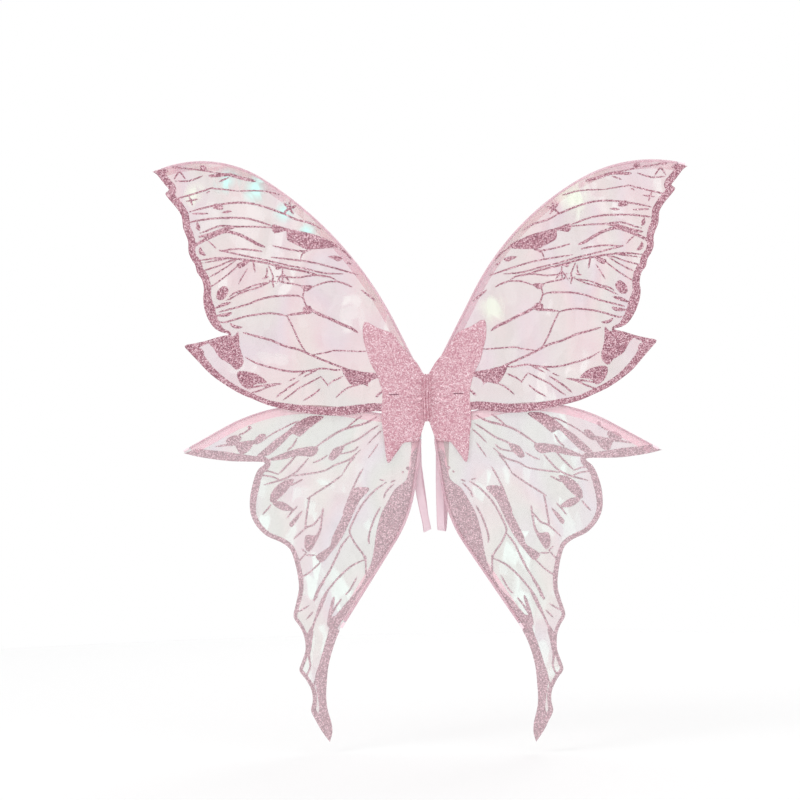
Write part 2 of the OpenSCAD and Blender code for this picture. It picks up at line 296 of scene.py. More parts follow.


# %% [markdown]
# ### Film
# Cellophane film is clear, but a coat a few light waves thick makes it shimmer in broad soft bands
# of green, cream, pink and lilac. A slow cloud is folded into bands and read through a colour ramp,
# and the alpha lets what lies behind show through. The film is crinkled: soft cells, stretched
# and swirled, are its facets, and their edges are the bump. As painted highlights of the crinkles,
# the base colour is painted paler on the facets by their tone, and near white on the few brightest.

# %% Film finish
film = Finish("sheer_film", Roughness=0.24, IOR=1.42, Coat_Weight=0.5, Coat_Roughness=0.08,
              Specular_IOR_Level=0.5)
drift = film.cloud(7.0, film.stretched(1.0, 1.0, 0.7, 0.5), 2.0)
bands = film.maths("FRACT", drift * 5.2)
shimmer = film.ramp(
    bands,
    (0.0, rgb(196, 208, 192)), (0.2, rgb(218, 208, 198)), (0.42, rgb(216, 180, 190)),
    (0.6, rgb(204, 190, 206)), (0.8, rgb(200, 206, 200)), (1.0, rgb(196, 208, 192)))
blush = film.cloud(11.0, film.stretched(0.6, 1.0, 1.0, 0.9), 2.0)
veil = film.mix(film.maths("MULTIPLY", blush, 0.75), shimmer, opaque(214, 186, 194))
swirl = film.node("ShaderNodeTexNoise", None, Vector=film.place, Scale=9.0, Detail=2.0)
swirled = film.node("ShaderNodeVectorMath", {"operation": "MULTIPLY_ADD"}, in_0=swirl.outputs[1],
                    in_1=(0.05, 0.05, 0.05), in_2=film.stretched(1.0, 1.0, 0.55, 0.6))
facets = film.flakes(34.0, swirled.outputs[0], 0.25)
crumbs = film.flakes(88.0, swirled.outputs[0], 0.3)
facet_light_tone, crumb = (film.grey(cell.outputs["Color"]) for cell in (facets, crumbs))
ridge = film.number(facets.outputs["Distance"]) + 0.4 * film.number(crumbs.outputs["Distance"])
# Painted highlight: the few brightest facet cells are painted near white in the base colour.
facet_highlight_level = film.maths("MAXIMUM", facet_light_tone * 1.3 + crumb * 0.7 - 1.32, 0.0)
painted_facet_highlight = film.maths("MINIMUM", facet_highlight_level * 2.0, 0.9)
film.bump(ridge, 0.9, 0.006)


# %% Patches of painted glint on the film


def painted_glint_patches(spots):
    """Mask of painted glint: how near the film is to the nearest of some spots, each X, Z and reach
    in metres.
    """
    nearest = 0.0
    for x, z, reach in spots:
        away = film.node("ShaderNodeVectorMath", {"operation": "DISTANCE"},
                         in_0=seen_flat, in_1=(x, 0, z))
        near = 1 - film.number(away.outputs["Value"]) * (1 / reach)
        nearest = film.maths("MAXIMUM", nearest, near)
    return film.held(nearest * 1.7 + crumb * 0.9 - 0.9)


# Painted glints: the base colour is painted pale cyan behind the left leading edge, and cream in a
# few patches.
seen_flat = film.stretched(1.0, 0.0, 1.0)
painted_cyan_glint = painted_glint_patches([(-0.209, 0.242, 0.021), (-0.178, 0.233, 0.021), (-0.149, 0.207, 0.019),
                 (-0.127, 0.186, 0.017)])
painted_cream_glint = painted_glint_patches([(0.168, 0.213, 0.030), (0.073, 0.098, 0.024), (-0.245, 0.226, 0.018)])
# The upper wings blush pinker than the lower ones.
rose = film.held(film.height() * 30.0 + 0.8)
# Painted highlights: facets painted a little paler by their tone, and the brightest near white.
coat_and_highlights = film.mix(painted_facet_highlight, film.mix(facet_light_tone * 0.3, veil, opaque(222, 224, 216)),
                opaque(240, 252, 246))
coat_and_highlights = film.mix(rose * 0.95, coat_and_highlights, (1.0, 0.80, 0.84, 1), "MULTIPLY")
# Painted glint: cream patches mixed into the base colour.
coat_and_highlights = film.mix(painted_cream_glint * 0.8, coat_and_highlights, opaque(244, 252, 232))
# Painted glint: pale cyan patches mixed into the base colour.
film_look = film.show(
    Base_Color=film.mix(painted_cyan_glint, coat_and_highlights, opaque(216, 255, 250)),
    Alpha=0.34 + painted_facet_highlight * 0.12 - crumb * 0.05 + painted_cyan_glint * 0.4 + painted_cream_glint * 0.15)

# %% [markdown]
# ### Glitter
# Glitter print and glitter fabric are both made of flat specks that face every way. A Voronoi
# pattern gives each speck its own random colour; that number picks between a dark speck, the base
# pink and a pale flash, and the same number tips the roughness, so that some specks mirror the
# lights.

# %% Glitter finishes


def glitter(name, dark, base, pale, speck, flash_from, grey_low=0.0):
    """A glitter finish. speck is specks to a metre, and the last argument how far it turns pale
    grey low on the wings.
    """
    made = Finish(name, IOR=1.5, Specular_IOR_Level=0.7)
    cells = made.flakes(speck)
    pick = made.grey(cells.outputs["Color"])
    blotch = made.cloud(38.0, None, 4.0, 0.6)
    tone = pick * 0.85 + blotch * 0.3 - 0.1
    colour = made.ramp(tone, (0.12, rgb(*dark)), (0.5, rgb(*base)), (0.9, rgb(*pale)))
    # Low on the wings the colour is mixed towards a pale grey.
    low = made.held(made.height() * -40.0 - 0.6)
    colour = made.mix(low * grey_low, colour, opaque(210, 206, 207))
    flash = pick > flash_from
    made.bump(pick, 0.35, 0.0004)
    made.show(
        Base_Color=made.mix(flash, colour, opaque(*pale)),
        Roughness=0.62 - 0.34 * flash,
        Metallic=0.12 + 0.4 * flash)
    return made.material


print_look = glitter("glitter_print", (126, 74, 90), (176, 116, 132), (236, 204, 212),
                     1150, 0.86, 0.38)
cloth_look = glitter("glitter_fabric", (186, 124, 140), (212, 160, 172), (244, 220, 226),
                     1250, 0.84)

flake = Finish("glitter_flake", Metallic=0.75, Roughness=0.22, IOR=1.5)
flake_tone = flake.grey(flake.flakes(700).outputs["Color"])
flake_look = flake.show(Base_Color=flake.ramp(
    flake_tone, (0.0, rgb(190, 128, 146)), (0.55, rgb(226, 182, 194)), (1.0, rgb(252, 240, 244))))

# %% Tape, elastic, felt, thread and metal finishes
tape = Finish("satin_tape", Roughness=0.42, Sheen_Weight=0.3, Sheen_Roughness=0.4,
              Specular_IOR_Level=0.4)
tape_weave = tape.cloud(900.0, tape.stretched(1.0, 1.0, 0.25, 0.6), 2.0)
tape_fold = tape.cloud(70.0, tape.stretched(1.0, 1.0, 0.3, -0.4), 3.0)
tape.bump(tape_weave * 0.3 + tape_fold, 0.5, 0.0009)
tape_look = tape.show(
    Base_Color=tape.ramp(tape_fold, (0.3, rgb(250, 198, 212)), (0.7, rgb(255, 220, 229))),
    Alpha=0.2 + 0.32 * tape_fold)

elastic = Finish("woven_elastic", Roughness=0.55, Sheen_Weight=0.5, Sheen_Roughness=0.35)
across, along = (elastic.number(elastic.node("ShaderNodeAttribute", {"attribute_name": title})
                                .outputs["Fac"]) for title in ("across", "along"))
# One weft yarn crosses the elastic every 0.9 mm, and eleven warp ribs lie side by side.
weft = elastic.maths("SINE", along * 7.0 + elastic.maths("SINE", across * 17.3) * 0.8) * 0.5 + 0.5
warp = elastic.maths("ABSOLUTE", elastic.maths("SINE", across * 17.3))
selvedge = elastic.maths("POWER", elastic.maths("ABSOLUTE", across), 9.0)
soil = elastic.cloud(45.0, None, 4.0)
elastic.bump(weft * 0.5 + warp * 0.5, 0.7, 0.0004)
yarn = elastic.mix(weft * 0.35 + soil * 0.3 - warp * 0.1, opaque(248, 224, 232),
                   opaque(222, 184, 198))
elastic_look = elastic.show(
    Base_Color=elastic.mix(selvedge * 0.8, yarn, opaque(196, 146, 164)))


def matted(name, light, dark, fibre, rough=0.9):
    """Felt or thread: short matted fibres in two tones of one colour."""
    made = Finish(name, Roughness=rough, Sheen_Weight=0.4, Sheen_Roughness=0.5)
    fibres = made.cloud(fibre, made.stretched(1.0, 1.0, 0.3, 0.8), 5.0, 0.65)
    lint = made.cloud(fibre * 0.35, made.stretched(0.3, 1.0, 1.0, -0.6), 4.0, 0.6)
    made.bump(fibres + lint, 0.6, 0.0005)
    return made.show(Base_Color=made.ramp(
        fibres * 0.6 + lint * 0.4, (0.3, rgb(*dark)), (0.7, rgb(*light))))


felt_look = matted("felt", (236, 198, 210), (206, 158, 174), 900)
foam_look = matted("brushed_cover", (242, 212, 222), (216, 176, 190), 600)
thread_look = matted("thread", (250, 226, 234), (224, 180, 196), 2600, 0.7)
dark_thread_look = matted("dark_thread", (158, 100, 118), (112, 62, 80), 2600, 0.7)

steel = Finish("steel_wire", Metallic=1.0)
die_marks = steel.cloud(500.0, steel.stretched(1.0, 1.0, 0.05), 3.0)
steel.bump(die_marks, 0.15, 0.0001)
steel_look = steel.show(
    Base_Color=steel.ramp(die_marks, (0.3, rgb(170, 172, 178)), (0.7, rgb(214, 216, 220))),
    Roughness=0.24 + 0.18 * die_marks)
vinyl = Finish("vinyl_cap", IOR=1.48, Coat_Weight=0.2)
mottle = vinyl.cloud(220.0, None, 3.0)
vinyl.bump(mottle, 0.15, 0.0002)
vinyl_look = vinyl.show(
    Base_Color=vinyl.ramp(mottle, (0.3, rgb(244, 214, 224)), (0.7, rgb(252, 232, 238))),
    Roughness=0.3 + 0.15 * mottle)
print(len(bpy.data.materials), "materials so far")

# %% [markdown]
# ## Wing coordinates
# Each wing is drawn flat: u runs out from its hinge, v runs up, and w comes towards the viewer, in
# millimetres. One function puts drawn points in place on either side. The left frame was bent a
# little differently by hand, so its film hangs a little higher and narrower, and a second function
# moves the drawn points by that much.

# %% Placing a wing
LEFT, RIGHT = -1, 1
SIDE_NAMES = {LEFT: "left", RIGHT: "right"}
HINGE_X, HINGE_Y = 8.5, -8.6
LEAN = math.radians(12)
WIRE_R, HIND_WIRE_R = 1.1, 0.8
TAPE_R, HIND_TAPE_R = 1.6, 1.2
HIND_WIRE_W = HIND_TAPE_R - TAPE_R
FILM_T = 0.3
FILM_FRONT = {"upper": TAPE_R + FILM_T, "lower": -TAPE_R}


def placed(side, u, v, w):
    """Wing points in millimetres as row frame points in metres."""
    x = side * (HINGE_X + u * math.cos(LEAN) - w * math.sin(LEAN))
    y = HINGE_Y - u * math.sin(LEAN) - w * math.cos(LEAN)
    return np.stack([x, y, v + 0 * u], -1) / 1000


def drawn(side, points):
    """Row frame points as wing u and v."""
    x, y, z = np.asarray(points).T * 1000
    across, deep = side * x - HINGE_X, y - HINGE_Y
    return np.stack([across * math.cos(LEAN) - deep * math.sin(LEAN), z], -1)


def ramp(x, low, high):
    return np.clip((x - low) / (high - low), 0, 1)


def hung(side, points):
    """Drawn film points as they hang on one side."""
    u, v = np.asarray(points, float).T
    if side == RIGHT:
        return np.stack([u, v], -1)
    hind = ramp(u, 150, 250) * ramp(v, -90, -70) * ramp(-v, -110, -75)
    return np.stack([u + 5 * hind - 4 * ramp(-v, 210, 270),
                     v + 4 * hind + 0.055 * np.maximum(v - 60, 0)], -1)


def smooth(points, steps=4, closed=False):
    """A Catmull-Rom curve through the points."""
    p = np.asarray(points, float)
    if closed:
        p = np.vstack([p[-1:], p, p[:2]])
    else:
        p = np.vstack([2 * p[0] - p[1], p, 2 * p[-1] - p[-2]])
    a, b, c, d = p[:-3], p[1:-2], p[2:-1], p[3:]
    t = np.linspace(0, 1, steps, endpoint=False)[None, :, None]
    a, b, c, d = (q[:, None, :] for q in (a, b, c, d))
    curve = (b + (c - a) * t / 2 + (2 * a - 5 * b + 4 * c - d) * t ** 2 / 2
             + (3 * b - a - 3 * c + d) * t ** 3 / 2).reshape(-1, p.shape[1])
    return curve if closed else np.vstack([curve, p[-2]])


# %% [markdown]
# ### Wire routes
# A bent wire is straights and arcs, so that is how it is written down: a straight is its length,
# and a bend is its radius and its turn. The same lists make the smooth wires, the tapes folded over
# them, and the line along which the film is held taut. The first leg is the pin, and the last
# goes into its cap.

# %% Routes
HIND_START = (2.6, -41.0)
ROUTES = {
    ("upper", RIGHT): [(27,), (12, -29), (95,), (290, -34), (158, -40), (7,)],
    ("upper", LEFT): [(27,), (12, -26), (56,), (400, -31), (124, -53), (7,)],
    ("tail", RIGHT): [(43,), (60, 9), (45,), (150, 26), (103,), (7,)],
    ("tail", LEFT): [(43,), (60, 9), (45,), (150, 24), (103,), (7,)],
    ("hind", RIGHT): [(11,), (10, -80), (65.5,), (190, -38.5), (50.5,), (7,)],
    ("hind", LEFT): [(11,), (10, -81), (84,), (190, -37.5), (42.5,), (7,)],
}
STARTS = {"upper": ((0, 0), 90), "tail": ((0, 0), -90), "hind": (HIND_START, 90)}


def walk(kind, side, first=0, last=6):
    """Points along a route and the heading at each, from leg first up to leg last."""
    point, heading = np.array(STARTS[kind][0], float), math.radians(STARTS[kind][1])
    points, headings = [point], [heading]
    for index, leg in enumerate(ROUTES[kind, side][:last]):
        turn = math.radians(leg[1]) if len(leg) == 2 else 0.0
        length = abs(leg[0] * turn) if turn else leg[0]
        count = max(2, round(length / (1.2 if turn and leg[0] < 30 else 4)))
        if index == first:
            points, headings = [point], [heading]
        for _ in range(count):
            middle = heading + turn / count / 2
            point = point + length / count * np.array([math.cos(middle), math.sin(middle)])
            heading += turn / count
            points.append(point)
            headings.append(heading)
    return np.array(points), np.array(headings)


taut_lines = {
    (half, side): np.vstack([walk(kind, side)[0] for kind in kinds])
    for side in (LEFT, RIGHT)
    for half, kinds in (("upper", ("upper",)), ("lower", ("tail", "hind")))}
print("upper wire tips:", [walk("upper", side)[0][-1].round(1).tolist() for side in (LEFT, RIGHT)])


# %% [markdown]
# ### The lie of the film
# Film is taut where tape holds it and loose towards its free edge, so it bellies forward a few
# millimetres and creases. The lie is one function of the drawn point: a slow belly, and creases
# from Blender's own noise, both fading out at the wires. The film and the print on it both ask it
# for their height, so they never part.

# %% Lie of the film


def lie(half, side, points):
    """How far the film comes forward at drawn, hung points, in millimetres."""
    points = np.asarray(points, float)
    line = taut_lines[half, side]
    held = np.full(len(points), 1e9)
    for start in range(0, len(line), 2):
        held = np.minimum(held, np.hypot(*(points - line[start]).T))
    held = np.minimum(held, np.maximum(points[:, 0] - 20, 0))
    loose = ramp(held, 7, 70)
    loose = loose * loose * (3 - 2 * loose)
    crease = np.array([
        0.5
        - 1.4 * abs(noise.noise(Vector((u * 0.035 + v * 0.02, v * 0.045 - u * 0.02, 3.1 * side))))
        - 0.5 * abs(noise.noise(Vector((u * 0.09 - v * 0.03, v * 0.1 + u * 0.04, 7.7 * side))))
        for u, v in points])
    belly = 2.4 * np.sin(ramp(held, 0, 190) * math.pi * 0.8)
    front = 1 if half == "upper" else ramp(-points[:, 1], 60, 130)
    return loose * (belly * front + 1.5 * crease)


# %% [markdown]
# ## Flat pieces from outlines
# Film, print, cover, felt and pad are all flat cuts. Their outlines come from the CAD pieces: the
# edges that only one triangle of the front face uses are its rim. A constrained triangulation then
# fills the rim with an even field of points, so that the sheet can bend, and a back face and a
# wall close it.

# %% Outlines and slabs


def cad_rim(node, flatten, pick):
    """The rim of a CAD piece's flat face, in order. pick says which points are on that face."""
    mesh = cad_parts[node].data
    points = np.array([v.co for v in mesh.vertices])
    keys = {}
    name = [keys.setdefault(tuple(np.round(p, 6)), i) for i, p in enumerate(points)]
    on_face = pick(points)
    follows = {}
    for polygon in mesh.polygons:
        corners = [name[i] for i in polygon.vertices]
        if all(on_face[i] for i in corners):
            for a, b in zip(corners, corners[1:] + corners[:1]):
                if follows.get(b, {}).pop(a, None) is None:
                    follows.setdefault(a, {})[b] = True
    ways = {a: list(b)[0] for a, b in follows.items() if b}
    start = min(ways)
    rim, here = [start], ways[start]
    while here != start:
        rim.append(here)
        here = ways[here]
    flat = flatten(points[rim])
    x, y = flat.T
    return flat if np.dot(x, np.roll(y, -1)) > np.dot(y, np.roll(x, -1)) else flat[::-1]


def depth_of(side, points):
    """w of row frame points, in millimetres."""
    x, y, _ = np.asarray(points).T * 1000
    return -(side * x - HINGE_X) * math.sin(LEAN) - (y - HINGE_Y) * math.cos(LEAN)


def filled(rim, gap):
    """Points and triangles that fill a closed rim, with inner points a gap apart."""
    low, high = rim.min(0), rim.max(0)
    across = np.arange(low[0] + gap / 2, high[0], gap)
    up = np.arange(low[1] + gap / 2, high[1], gap * 0.87)
    grid = np.array([(x + (row % 2) * gap / 2, y) for row, y in enumerate(up) for x in across])
    grid = grid[edge_distance(grid, rim) < -0.45 * gap]
    points = [Vector(p) for p in np.vstack([rim, grid])]
    made = delaunay_2d_cdt(points, [], [list(range(len(rim)))], 1, 1e-5)
    return np.array([p[:] for p in made[0]]), np.array(made[2])


def edge_distance(points, rim):
    """Signed distance to a closed rim, negative inside."""
    nearest = np.full(len(points), 1e9)
    inside = np.zeros(len(points), bool)
    x, y = points.T
    for a, b in zip(rim, np.roll(rim, -1, 0)):
        along = b - a
        t = np.clip(((points - a) @ along) / max(along @ along, 1e-12), 0, 1)
        nearest = np.minimum(nearest, np.hypot(*(points - a - t[:, None] * along).T))
        crosses = (a[1] > y) != (b[1] > y)
        if crosses.any():
            inside ^= crosses & (x < a[0] + (y - a[1]) * along[0] / (along[1] or 1e-12))
    return np.where(inside, -nearest, nearest)


def solid(name, points, faces, look, slot):
    """A mesh object from points in metres and faces, with its finish."""
    mesh = bpy.data.meshes.new(name)
    mesh.from_pydata([tuple(p) for p in points], [], [tuple(f) for f in faces])
    mesh.validate()
    mesh.materials.append(look)
    mesh.polygons.foreach_set("use_smooth", [True] * len(mesh.polygons))
    return added(name, mesh, slot)


def tube_faces(rings, count, first=0, stride=None):
    """The quads of a tube: rings of count points, numbered from first, each stride further on."""
    stride = stride or count
    corners = ((0, 0), (0, 1), (1, 1), (1, 0))
    return [tuple(first + (r + i) * stride + (k + j) % count for i, j in corners)
            for r in range(rings - 1) for k in range(count)]


def end_faces(rings, count):
    """The two faces that close such a tube."""
    return [tuple(range(count)), tuple(range(count * (rings - 1), count * rings))]


def slab(name, front, back, triangles, look, slot, mirrored, edge_angle=50):
    """A closed slab between a front and a back copy of the same triangles."""
    count = len(front)
    triangles = np.asarray(triangles)
    edges = np.concatenate([triangles[:, [0, 1]], triangles[:, [1, 2]], triangles[:, [2, 0]]])
    keys = {tuple(e) for e in edges.tolist()}
    walls = [(a, b) for a, b in keys if (b, a) not in keys]
    faces = ([tuple(t) for t in triangles.tolist()]
             + [tuple(i + count for i in reversed(t)) for t in triangles.tolist()]
             + [(b, a, a + count, b + count) for a, b in walls])
    if mirrored:
        faces = [tuple(reversed(f)) for f in faces]
    made = solid(name, np.vstack([front, back]), faces, look, slot)
    made.data.set_sharp_from_angle(angle=math.radians(edge_angle))
    return made


# %% Film sheets
FILM_GAP = 3.4
film_rims = {}
for side in (LEFT, RIGHT):
    for half in ("upper", "lower"):
        node = f"{SIDE_NAMES[side]}_{half}_film"
        face_w = FILM_FRONT[half]
        rim = cad_rim(node, lambda p: drawn(side, p),
                      lambda p: abs(depth_of(side, p) - face_w) < 0.02)
        film_rims[half, side] = rim
        flat, triangles = filled(rim, FILM_GAP)
        forward = lie(half, side, flat)
        front = placed(side, flat[:, 0], flat[:, 1], face_w + forward)
        back = placed(side, flat[:, 0], flat[:, 1], face_w - FILM_T + forward)
        sheet = slab(f"{SIDE_NAMES[side]}_{half}_sheet", front, back, triangles, film_look,
                     "sheer_film", side == LEFT)
        x, y = rim.T
        size = (rim.max(0) - rim.min(0)) / 1000
        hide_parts(node)
        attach(sheet, f"{SIDE_NAMES[side]}_wing")

# %% [markdown]
# ## Glitter print
# The print is glue and glitter a third of a millimetre thick, laid on the film in a wing's pattern:
# a border, veins that taper to points, and leaves. Drawn one by one, the veins would overlap
# where they cross. So each stroke and leaf is measured as a distance on a fine grid, the smallest
# distance wins, and the line where it is zero is walked triangle by triangle. That gives one joined
# print with crisp edges, and a little noise in the distance makes them as ragged as real glitter.

# %% Strokes on a grid
PRINT_GRID = 1.0
PRINT_THICK = 0.35


STROKE_REACH = 4.0


class Field:
    """Distances to a print on a grid of drawn points, negative inside it."""

    def __init__(self, rim, step):
        self.low, self.step = np.floor(rim.min(0)) - 2, step
        self.count = (np.ceil((rim.max(0) + 2 - self.low) / step)).astype(int) + 1
        self.value = np.full(self.count[::-1], 1e3)

    def window(self, points, reach):
        """The part of the grid near some points, and where its points are."""
        low, high = ((p - self.low) / self.step
                     for p in (points.min(0) - reach, points.max(0) + reach))
        first = np.clip(low.astype(int), 0, self.count - 1)
        last = np.clip(high.astype(int) + 2, 1, self.count)
        x, y = np.meshgrid(np.arange(first[0], last[0]), np.arange(first[1], last[1]))
        where = (slice(first[1], last[1]), slice(first[0], last[0]))
        return where, np.stack([x, y], -1) * self.step + self.low

    def stroke(self, points, halves):
        """A line whose half width changes from point to point."""
        for a, b, wide_a, wide_b in zip(points, points[1:], halves, halves[1:]):
            where, at = self.window(np.array([a, b]), STROKE_REACH + max(wide_a, wide_b))
            along = b - a
            t = np.clip(((at - a) @ along) / max(along @ along, 1e-9), 0, 1)
            away = np.hypot(*np.moveaxis(at - a - t[..., None] * along, -1, 0))
            self.value[where] = np.minimum(self.value[where], away - wide_a - t * (wide_b - wide_a))

    def vein(self, width, *flat):
        """A smooth stroke through drawn points that tapers to a point at both ends."""
        points = smooth(np.reshape(flat, (-1, 2)))
        t = np.linspace(0, 1, len(points))
        taper = np.minimum(1, 7 * np.minimum(t, 1 - t)) ** 0.6
        self.stroke(points, width * 0.44 * (0.5 + 0.5 * taper))

    def leaf(self, *flat):
        """A filled patch with a smooth edge."""
        rim = smooth(np.reshape(flat, (-1, 2)), 3, closed=True)
        where, at = self.window(rim, 3)
        away = edge_distance(at.reshape(-1, 2), rim).reshape(at.shape[:2])
        self.value[where] = np.minimum(self.value[where], away)

    def border(self, rim, *stops):
        """A band inside part of a rim. A stop is u, v and the band's width by that point."""
        rim = rim[::-1]
        marks = [int(np.argmin(np.hypot(*(rim - stop[:2]).T))) for stop in stops]
        for (i, j), (one, two) in zip(zip(marks, marks[1:]), zip(stops, stops[1:])):
            part = rim[i:j + 1] if i <= j else np.vstack([rim[i:], rim[:j + 1]])
            self.stroke(part, np.linspace(one[2], two[2], len(part)))

    def draw(self, veins, leaves):
        for vein in veins:
            self.vein(*vein)
        for leaf in leaves:
            self.leaf(*leaf)

    def traced(self, rim, seed):
        """Points and triangles of the print, cut to the film's rim."""
        where, at = self.window(rim, 2)
        film_edge = edge_distance(at.reshape(-1, 2), rim).reshape(at.shape[:2])
        rough = np.random.default_rng(seed).normal(0, 0.11, self.value.shape)
        rough = (rough + np.roll(rough, 1, 0) + np.roll(rough, 1, 1)) / 1.7
        value = np.full(self.value.shape, 1e3)
        value[where] = np.maximum((self.value + rough)[where], film_edge + 0.15)
        value[np.abs(value) < 0.04] = 0.04
        rows, columns = value.shape
        total = rows * columns
        node = np.arange(total).reshape(rows, columns)
        corner = [node[:-1, :-1], node[:-1, 1:], node[1:, 1:], node[1:, :-1]]
        triangles = np.concatenate([
            np.stack([corner[0], corner[k], corner[k + 1]], -1).reshape(-1, 3) for k in (1, 2)])
        level = value.ravel()
        inside = level[triangles] < 0
        found = inside.sum(1)

        def rolled(chosen, first):
            turn = (first[:, None] + np.arange(3)) % 3
            return np.take_along_axis(chosen, turn, 1).T

        def cut(p, q):
            return total + np.minimum(p, q) * total + np.maximum(p, q)

        a, b, c = rolled(triangles[found == 1], inside[found == 1].argmax(1))
        d, e, f = rolled(triangles[found == 2], inside[found == 2].argmin(1))
        made = np.concatenate([
            triangles[found == 3], np.stack([a, cut(a, b), cut(a, c)], 1),
            np.stack([e, f, cut(f, d)], 1), np.stack([e, cut(f, d), cut(d, e)], 1)])
        names, faces = np.unique(made, return_inverse=True)
        one = np.where(names < total, names, (names - total) // total)
        two = np.where(names < total, names, (names - total) % total)
        t = np.where(one == two, 0, level[one] / np.where(one == two, 1, level[one] - level[two]))
        spots = [np.stack([n % columns, n // columns], 1) * self.step + self.low
                 for n in (one, two)]
        return spots[0] + t[:, None] * (spots[1] - spots[0]), faces.reshape(-1, 3)


# %% Upper wing pattern
upper = Field(film_rims["upper", RIGHT], PRINT_GRID)
upper.border(
    film_rims["upper", RIGHT],
    (286, 243, 7), (272, 226, 8), (262, 205, 8), (252, 176, 8), (247, 152, 7), (236, 131, 8),
    (234, 118, 8), (231, 97, 11), (222, 80, 8), (213, 74, 4.5), (205, 72, 2.5), (228, 65, 3),
    (251, 59, 9), (237, 42, 9), (212, 19, 6),
    (165, -4, 5.5), (128, -12, 8), (88, -16, 10), (50, -12, 9), (12, -14, 7))
UPPER_VEINS = [
    (2.2, 47, 107, 54, 112, 62, 118), (3.4, 67, 74, 75, 79, 85, 83, 100, 90, 108, 93, 121, 100),
    (2, 122, 101, 126, 111, 125, 117, 123, 122), (3, 118, 96, 143, 93),
    (1.8, 57, 54, 65, 54, 85, 55, 95, 55, 103, 53, 118, 51),
    (2.6, 79, 35, 88, 38, 103, 44, 117, 50, 132, 57, 147, 61, 162, 67, 178, 71, 190, 74),
    (2, 124, 54, 132, 67, 138, 81, 144, 92),
    (2.2, 80, 35, 92, 34, 107, 36, 119, 34, 139, 33, 160, 37, 177, 42, 188, 48),
    (1.8, 113, 34, 121, 30, 127, 27), (1.8, 123, 34, 133, 28), (1.8, 136, 26, 143, 23),
    (2.2, 132, 23, 140, 18, 150, 11, 157, 5), (2, 108, 27, 120, 21, 132, 15, 140, 9, 150, 2),
    (2, 84, 27, 90, 24, 95, 22, 101, 17), (2, 73, 16, 79, 14, 85, 10, 92, 4),
    (2, 109, 14, 116, 8, 128, 1), (2.2, 151, 20, 161, 19, 174, 17, 182, 15),
    (2, 151, 20, 163, 17, 174, 12, 183, 9), (3, 41, 10, 48, 4), (3, 32, -11, 44, -5),
    (2, 124, 54, 118, 51), (1.8, 100, 17, 108, 27),
    (2.2, 126, 111, 133, 113, 149, 113, 162, 112, 175, 109, 185, 105, 206, 99, 217, 96),
    (2.2, 144, 92, 153, 94, 163, 95, 173, 94, 186, 92, 200, 88, 209, 85, 216, 85),
    (2, 72, 121, 78, 124, 88, 127, 95, 127, 103, 126, 115, 122),
    (2, 128, 123, 135, 125, 148, 127, 153, 130),
    (2, 90, 129, 97, 132, 112, 134, 128, 132, 138, 132, 155, 133),
    (2.4, 102, 132, 124, 138, 145, 142, 165, 147, 190, 151, 215, 153, 237, 151),
    (2, 82, 135, 102, 136, 124, 141, 145, 145, 165, 150, 185, 154, 212, 160, 217, 161),
    (2, 66, 134, 80, 138, 94, 142, 114, 147, 134, 150, 160, 153), (1.8, 73, 145, 78, 147),
    (1.8, 141, 128, 148, 135, 155, 126), (1.8, 148, 128, 148, 141),
    (2, 156, 128, 159, 128, 163, 129),
    (2, 158, 122, 159, 128, 158, 134), (1.6, 163, 144, 160, 138, 158, 131),
    (1.8, 165, 142, 165, 137, 167, 132), (2, 163, 133, 170, 131),
    (1.8, 162, 127, 170, 126, 180, 124, 190, 120, 200, 117, 206, 113),
    (1.8, 162, 127, 175, 122, 185, 119, 195, 116, 205, 111, 210, 109),
    (1.8, 197, 151, 207, 149, 217, 145, 227, 142, 234, 140), (1.8, 200, 149, 215, 140, 228, 133),
    (1.8, 195, 147, 201, 141, 210, 134, 222, 126, 228, 123), (2, 180, 150, 178, 138),
    (1.6, 208, 152, 222, 150, 236, 148), (1.6, 186, 142, 192, 133, 196, 126),
    (2.2, 105, 182, 117, 188, 132, 192, 148, 199, 172, 207, 190, 210, 210, 209, 232, 205, 248, 201),
    (2.2, 160, 186, 172, 190, 190, 194, 220, 194, 238, 192, 248, 190),
    (2, 160, 184, 180, 185, 195, 185, 215, 186, 230, 181, 237, 179),
    (3.4, 200, 184, 210, 183, 225, 178, 238, 175),
    (3.5, 167, 164, 175, 167, 186, 173, 198, 178, 210, 180, 222, 176, 240, 168, 244, 163),
    (2, 117, 160, 125, 159, 135, 160, 145, 162, 158, 165), (1.6, 122, 158, 126, 156, 128, 151),
    (2, 170, 159, 182, 161, 200, 162, 215, 160), (1.6, 220, 163, 224, 167, 229, 171),
    (3.6, 176, 232, 190, 235, 205, 239, 220, 238, 226, 238), (2, 205, 236, 215, 232),
    (1.8, 233, 238, 248, 233, 263, 233), (2, 252, 235, 258, 242, 264, 235), (3, 257, 247, 265, 247),
    (2, 283, 243, 277, 236, 270, 230), (2, 222, 226, 238, 221, 253, 217, 261, 215),
    (1.8, 226, 222, 229, 220), (2, 239, 214, 251, 212), (2, 248, 217, 245, 208),
    (2, 228, 199, 245, 199), (1.6, 200, 238, 236, 244, 262, 247),
    (1.6, 150, 218, 170, 222, 196, 222),
    (1.6, 88, 163, 80, 158, 72, 150), (1.6, 196, 222, 212, 224, 224, 225),
    (2.6, 132, 206, 139, 204, 145, 209), (2.6, 135, 198, 139, 204, 138, 211),
    (2.6, 145, 199, 139, 204), (1.6, 121, 100, 122, 101),
    (1.6, 118, 51, 124, 54, 132, 57)]
